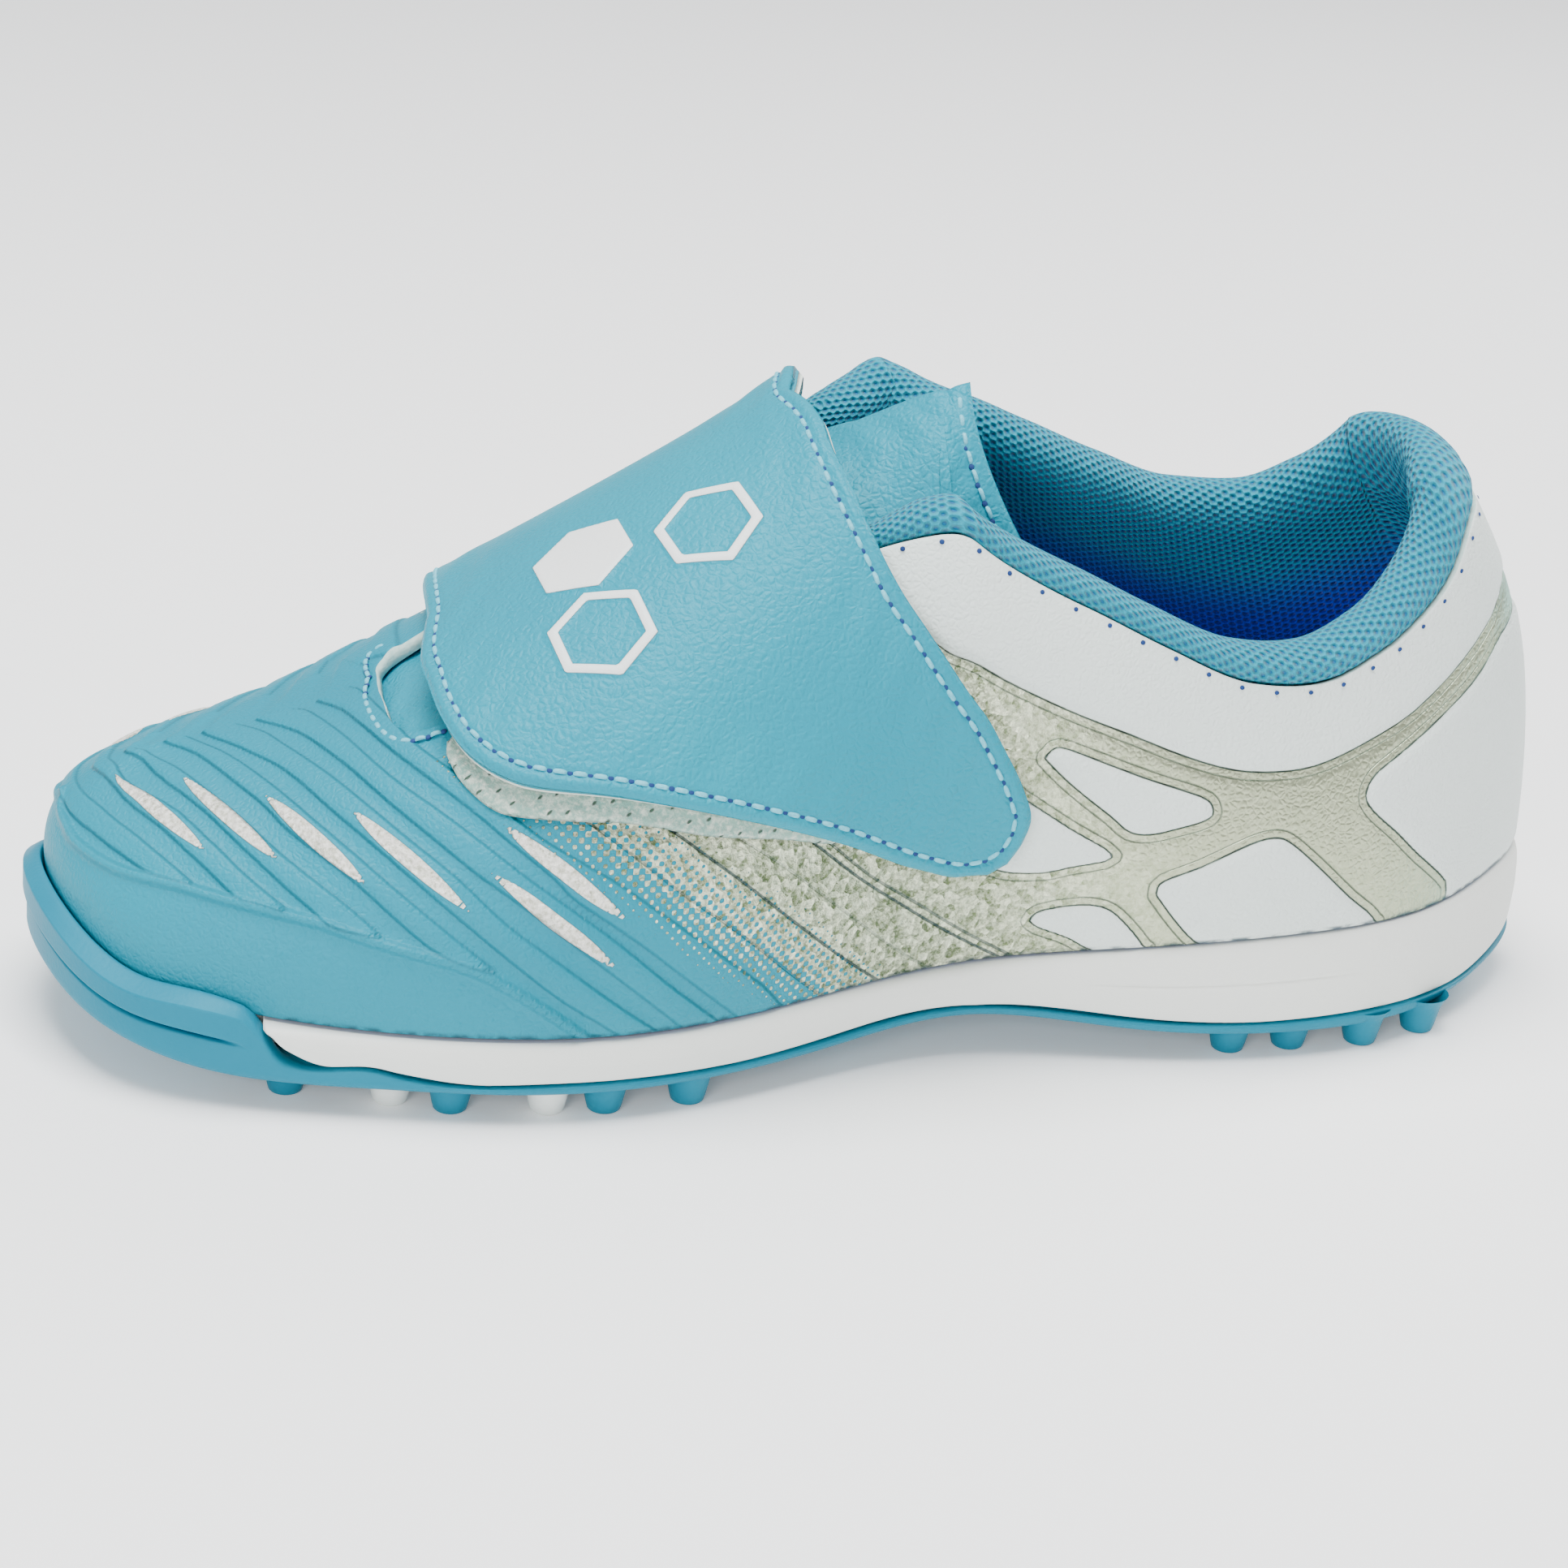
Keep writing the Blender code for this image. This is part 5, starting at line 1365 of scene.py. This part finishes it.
STRAP_THICK = 0.0026
STITCH_INSET = 0.0020
SEAM_DEPTH = 0.00025
SEAM_WIDTH = 0.0005
ROUND_DROP = 0.0008
ROUND_WIDTH = 0.0011
BADGE_RISE = 0.00038
BADGE_LINE = 1.3
SINE_60 = 0.866
STRAP_ROWS = 300
STRAP_COLUMNS = 150
STRAP_TABLE = (
    # front station, front across, rear station, rear across, lift
    (4.90, -0.600, 6.90, -0.600, 0.0004),
    (4.70, -0.450, 6.95, -0.420, 0.0008),
    (4.45, -0.250, 7.05, -0.220, 0.0016),
    (4.28, -0.090, 7.05, -0.050, 0.0018),
    (4.17, 0.030, 6.98, 0.093, 0.0018),
    (4.16, 0.120, 6.90, 0.190, 0.0018),
    (4.24, 0.215, 6.93, 0.290, 0.0018),
    (4.34, 0.315, 7.02, 0.375, 0.0018),
    (4.50, 0.415, 7.15, 0.440, 0.0018),
    (4.79, 0.506, 7.38, 0.510, 0.0018),
    (5.37, 0.584, 7.68, 0.579, 0.0018),
    (6.10, 0.672, 7.98, 0.630, 0.0018),
    (6.80, 0.745, 8.22, 0.694, 0.0018),
    (7.35, 0.800, 8.285, 0.735, 0.0018),
    (7.72, 0.822, 8.22, 0.772, 0.0018),
    (7.95, 0.822, 8.10, 0.806, 0.0018),
)
BADGE_TABLE = (
    # station and across of the middle, radius of the hexagon in mm, 1 solid or 0 outline
    (5.32, 0.105, 7.2, 1),
    (5.32, 0.292, 7.2, 0),
    (6.02, 0.190, 7.2, 0),
)
STRAP = np.array(STRAP_TABLE)
knots = np.arange(len(STRAP))
place = np.linspace(0, len(STRAP) - 1, STRAP_ROWS)[:, None]
span = np.linspace(0, 1, STRAP_COLUMNS)[None, :]
front = smooth(place, knots, STRAP[:, 0])
rear_edge = smooth(place, knots, STRAP[:, 2])
front_across = smooth(place, knots, STRAP[:, 1])
rear_across = smooth(place, knots, STRAP[:, 3])
lift = smooth(place, knots, STRAP[:, 4]) + 0 * span
strap_station = front + (rear_edge - front) * span
across = front_across + (rear_across - front_across) * span
under = across_skin(strap_station, across, lift)
cover_top = across_skin(strap_station, across, lift + STRAP_THICK)
border = np.concatenate((cover_top[:, 0], cover_top[-1, 1:-1], cover_top[::-1, -1]))
near = far_from(border[::3], cover_top) / 1000
badge = np.full(near.shape, -9.0)
for at_station, at_across, radius, solid in BADGE_TABLE:
    centre = across_skin(np.array(at_station), np.array(at_across), 0.0018 + STRAP_THICK)
    ahead = across_skin(np.array(at_station - 0.1), np.array(at_across), 0.0018 + STRAP_THICK) - centre
    up_way = across_skin(np.array(at_station), np.array(at_across - 0.02), 0.0018 + STRAP_THICK) - centre
    ahead = ahead / np.linalg.norm(ahead)
    up_way = up_way - ahead * (up_way @ ahead)
    up_way = up_way / np.linalg.norm(up_way)
    away = (cover_top - centre) * 1000
    u = away @ ahead
    v = away @ up_way
    slant = np.maximum(np.abs(u * 0.5 + v * SINE_60), np.abs(u * 0.5 - v * SINE_60))
    shape = radius * SINE_60 - np.maximum(np.abs(u), slant)
    shape = shape if solid else np.minimum(shape, BADGE_LINE - shape)
    far = np.linalg.norm(away, axis=-1) > 20
    badge = np.maximum(badge, np.where(far, -9.0, shape))
bevel = ROUND_DROP * (1 - np.clip(near / ROUND_WIDTH, 0, 1)) ** 2
seam = SEAM_DEPTH * np.exp(-((near - STITCH_INSET) / SEAM_WIDTH) ** 2)
crease = 0.00010 * np.sin(strap_station * 14 + across * 40) * np.exp(-((near - 0.006) / 0.004) ** 2)
hollow = 0.0005 * np.exp(-((across - 0.56) / 0.07) ** 2 - ((strap_station - 6.1) / 0.5) ** 2)
raised = BADGE_RISE * step_of(badge, 0.7)
top = across_skin(strap_station, across, lift + STRAP_THICK - bevel - seam + crease + raised - hollow)
middle_edge = across_skin(strap_station, across, lift + 0.0009)
STRAP_FELT, tree, shader, spot = new_material("strap_lining")
nap = noise(tree, spot, 1200.0, 3.0)
tint(tree, shader, nap, (0.52, 0.62, 0.56, 1), (0.80, 0.83, 0.76, 1))
shader.inputs["Roughness"].default_value = 0.9
emboss(tree, shader, nap, 0.5, 0.0003)
points, faces = sheet_points(top, middle_edge)
coarse = np.ix_(np.linspace(0, STRAP_ROWS - 1, 121).astype(int),
                np.linspace(0, STRAP_COLUMNS - 1, 51).astype(int))
felt_top = middle_edge - (middle_edge - under) * 0.04
low_points, low_faces = sheet_points(felt_top[coarse], under[coarse])
values = {"badge": np.concatenate((badge.ravel(), np.full(badge.size, -9.0)))}
strap = place_mesh("strap_cover", points, faces, [STRAP_COAT], values=values)
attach(strap, "root")
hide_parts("strap")
felt = place_mesh("strap_lining", low_points, low_faces, [STRAP_FELT])
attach(felt, "root")
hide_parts("strap")

# Thread
# Pale blue thread in lock stitch, with a dark needle hole between each two stitches: round
# the strap, along the tongue's top and round the front of the throat.

# The dark needle holes below are domes of painted shade, not real holes.
STITCH_PITCH = 0.0025
THREAD_RADIUS = 0.00027


def resample(line, pitch):
    """Points at an even pitch along a line."""
    run = np.concatenate(([0], np.cumsum(np.linalg.norm(np.diff(line, axis=0), axis=1))))
    count = max(int(run[-1] / pitch), 2)
    goal = np.linspace(0, run[-1], count + 1)
    return np.stack([np.interp(goal, run, line[:, k]) for k in range(3)], -1)


def sewn_line(low, high, pitch):
    """Even places along a line, and the way out of the surface: a raised copy less the line."""
    points = resample(low, pitch)
    raised = resample(high, pitch)
    count = min(len(points), len(raised))
    return points[:count], raised[:count] - points[:count]


def thread_row(line, lifted, gap=0.24):
    """Stitches along a line: capsules between neighbouring points, bowed up in the middle."""
    begin = line[:-1] + (line[1:] - line[:-1]) * gap * 0.5
    finish = line[1:] - (line[1:] - line[:-1]) * gap * 0.5
    up_dir = (lifted[:-1] + lifted[1:]) / 2
    up_dir = up_dir / np.linalg.norm(up_dir, axis=1, keepdims=True)
    run = finish - begin
    run = run / np.linalg.norm(run, axis=1, keepdims=True)
    wide = np.cross(run, up_dir)
    t = np.array((0.0, 0.06, 0.2, 0.5, 0.8, 0.94, 1.0))
    thick = np.array((0.15, 0.7, 1.0, 1.05, 1.0, 0.7, 0.15)) * THREAD_RADIUS
    bow = np.array((-0.9, -0.3, 0.35, 0.6, 0.35, -0.3, -0.9)) * THREAD_RADIUS
    turn = np.arange(8) * np.pi / 4
    middle = begin[:, None] + (finish - begin)[:, None] * t[None, :, None]
    middle = middle + up_dir[:, None] * bow[None, :, None]
    ring_u = np.cos(turn)[None, None, :, None] * wide[:, None, None]
    ring_v = np.sin(turn)[None, None, :, None] * up_dir[:, None, None]
    return middle[:, :, None] + (ring_u * 1.15 + ring_v * 0.85) * thick[None, :, None, None]


def hole_row(line, lifted, radius=0.00044):
    """Small dark domes at the needle holes, almost flat on the surface: painted shadow inside each hole."""
    up_dir = lifted / np.linalg.norm(lifted, axis=1, keepdims=True)
    run = np.gradient(line, axis=0)
    run = run / np.linalg.norm(run, axis=1, keepdims=True)
    wide = np.cross(run, up_dir)
    turn = np.arange(10) * np.pi / 5
    share = np.array((1.0, 0.75, 0.05))
    tall = np.array((-0.25, 0.10, 0.16)) * radius
    turn = turn[None, None, :, None]
    flat = np.cos(turn) * run[:, None, None] + np.sin(turn) * wide[:, None, None]
    high = up_dir[:, None, None] * tall[None, :, None, None]
    return line[:, None, None] + flat * (share * radius)[None, :, None, None] + high


def many(blocks):
    """Points and faces of many like tubes, each closed at both ends."""
    points = []
    faces = []
    start = 0
    for block in blocks:
        count, rows, sides = block.shape[:3]
        one = np.array(band_faces(rows, sides, 0, True))
        offset = start + np.arange(count)[:, None, None] * rows * sides
        faces += (one[None] + offset).reshape(-1, 4).tolist()
        first = np.arange(sides)[::-1]
        last = np.arange(sides) + (rows - 1) * sides
        faces += (first[None] + offset[:, 0]).tolist() + (last[None] + offset[:, 0]).tolist()
        points.append(block.reshape(-1, 3))
        start += count * rows * sides
    return np.concatenate(points), faces


inside = near[::2] >= STITCH_INSET
held = np.nonzero(inside.any(1))[0]
first = inside.argmax(1)[held]
last = STRAP_COLUMNS - 1 - inside[:, ::-1].argmax(1)[held]
seam_line = top[np.concatenate((2 * held, 2 * held[::-1])), np.concatenate((first, last[::-1]))]
kernel = np.ones(5) / 5
padded = np.pad(seam_line, ((2, 2), (0, 0)), mode="edge")
smoothed = np.stack([np.convolve(padded[:, k], kernel, "valid") for k in range(3)], -1)
seam_points = resample(smoothed, STITCH_PITCH)
lift_grid = cover_top - under


def nearest_normal(points, grid, normals):
    """Grid point nearest to each point, with its normal: the least of q.q - 2 p.q over the grid."""
    flat = grid.reshape(-1, 3)
    pick = np.argmin((flat ** 2).sum(1)[None] - 2 * points @ flat.T, axis=1)
    return flat[pick], normals.reshape(-1, 3)[pick]


on_top, seam_normals = nearest_normal(seam_points, top, lift_grid)
unit = seam_normals / np.linalg.norm(seam_normals, axis=1, keepdims=True)
drop = ((on_top - seam_points) * unit).sum(1, keepdims=True)
seam_points = seam_points + unit * drop

THROAT_SEAM = (
    # station, share across
    (3.90, -0.115), (3.75, -0.113), (3.57, -0.030), (3.53, 0.053), (3.60, 0.121), (3.69, 0.179),
    (3.80, 0.234), (3.94, 0.278), (4.11, 0.298), (4.29, 0.302),
)
fine_line = flow(THROAT_SEAM)
throat = across_skin(fine_line[:, 0], fine_line[:, 1], 0.0003 + 0 * fine_line[:, 0])
throat_high = across_skin(fine_line[:, 0], fine_line[:, 1], 0.0013 + 0 * fine_line[:, 0])
throat_points, throat_up = sewn_line(throat, throat_high, STITCH_PITCH * 0.82)

TOP_SEAM = len(TONGUE) - 1.42
seam_span = np.linspace(0.08, 0.98, 60)
at_station, at_across, at_depth = tongue_at(TOP_SEAM + 0 * seam_span, seam_span)
tongue_points, tongue_up = sewn_line(across_skin(at_station, at_across, -at_depth - 0.0001),
                                     across_skin(at_station, at_across, -at_depth + 0.0009), STITCH_PITCH)

THREAD, tree, shader, spot = new_material("thread")
twist = noise(tree, spot, 2600.0, 2.0)
tint(tree, shader, twist, (0.03, 0.36, 0.50, 1), (0.20, 0.62, 0.72, 1))
shader.inputs["Roughness"].default_value = 0.6
emboss(tree, shader, twist, 0.5, 0.0002)
# Painted shade: the needle holes are flat dark domes standing in for the shade inside each hole.
HOLE_SHADE, tree, shader, spot = new_material("needle_hole_shade")
painted_shade = noise(tree, spot, 900.0)
tint(tree, shader, painted_shade, (0.004, 0.02, 0.10, 1), (0.010, 0.05, 0.20, 1))
shader.inputs["Roughness"].default_value = 0.9

points, faces = many([thread_row(seam_points, seam_normals), thread_row(throat_points, throat_up),
                      thread_row(tongue_points, tongue_up)])
thread = place_mesh("thread", points, faces, [THREAD])
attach(thread, "root")
collar_place = np.linspace(7.2, ROUND - 7.2, 900)
collar_line = skin(collar_place, edge_share(collar_place) - 0.010, 0.00052)
collar_high = skin(collar_place, edge_share(collar_place) - 0.010, 0.00152)
collar_points, collar_up = sewn_line(collar_line, collar_high, 0.0050)
# Domes of painted shade at the needle holes of every seam and along the collar.
points, faces = many([hole_row(seam_points, seam_normals), hole_row(throat_points, throat_up),
                      hole_row(tongue_points, tongue_up), hole_row(collar_points, collar_up, 0.00034)])
holes = place_mesh("needle_hole_shade_domes", points, faces, [HOLE_SHADE])
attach(holes, "root")

low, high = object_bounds()
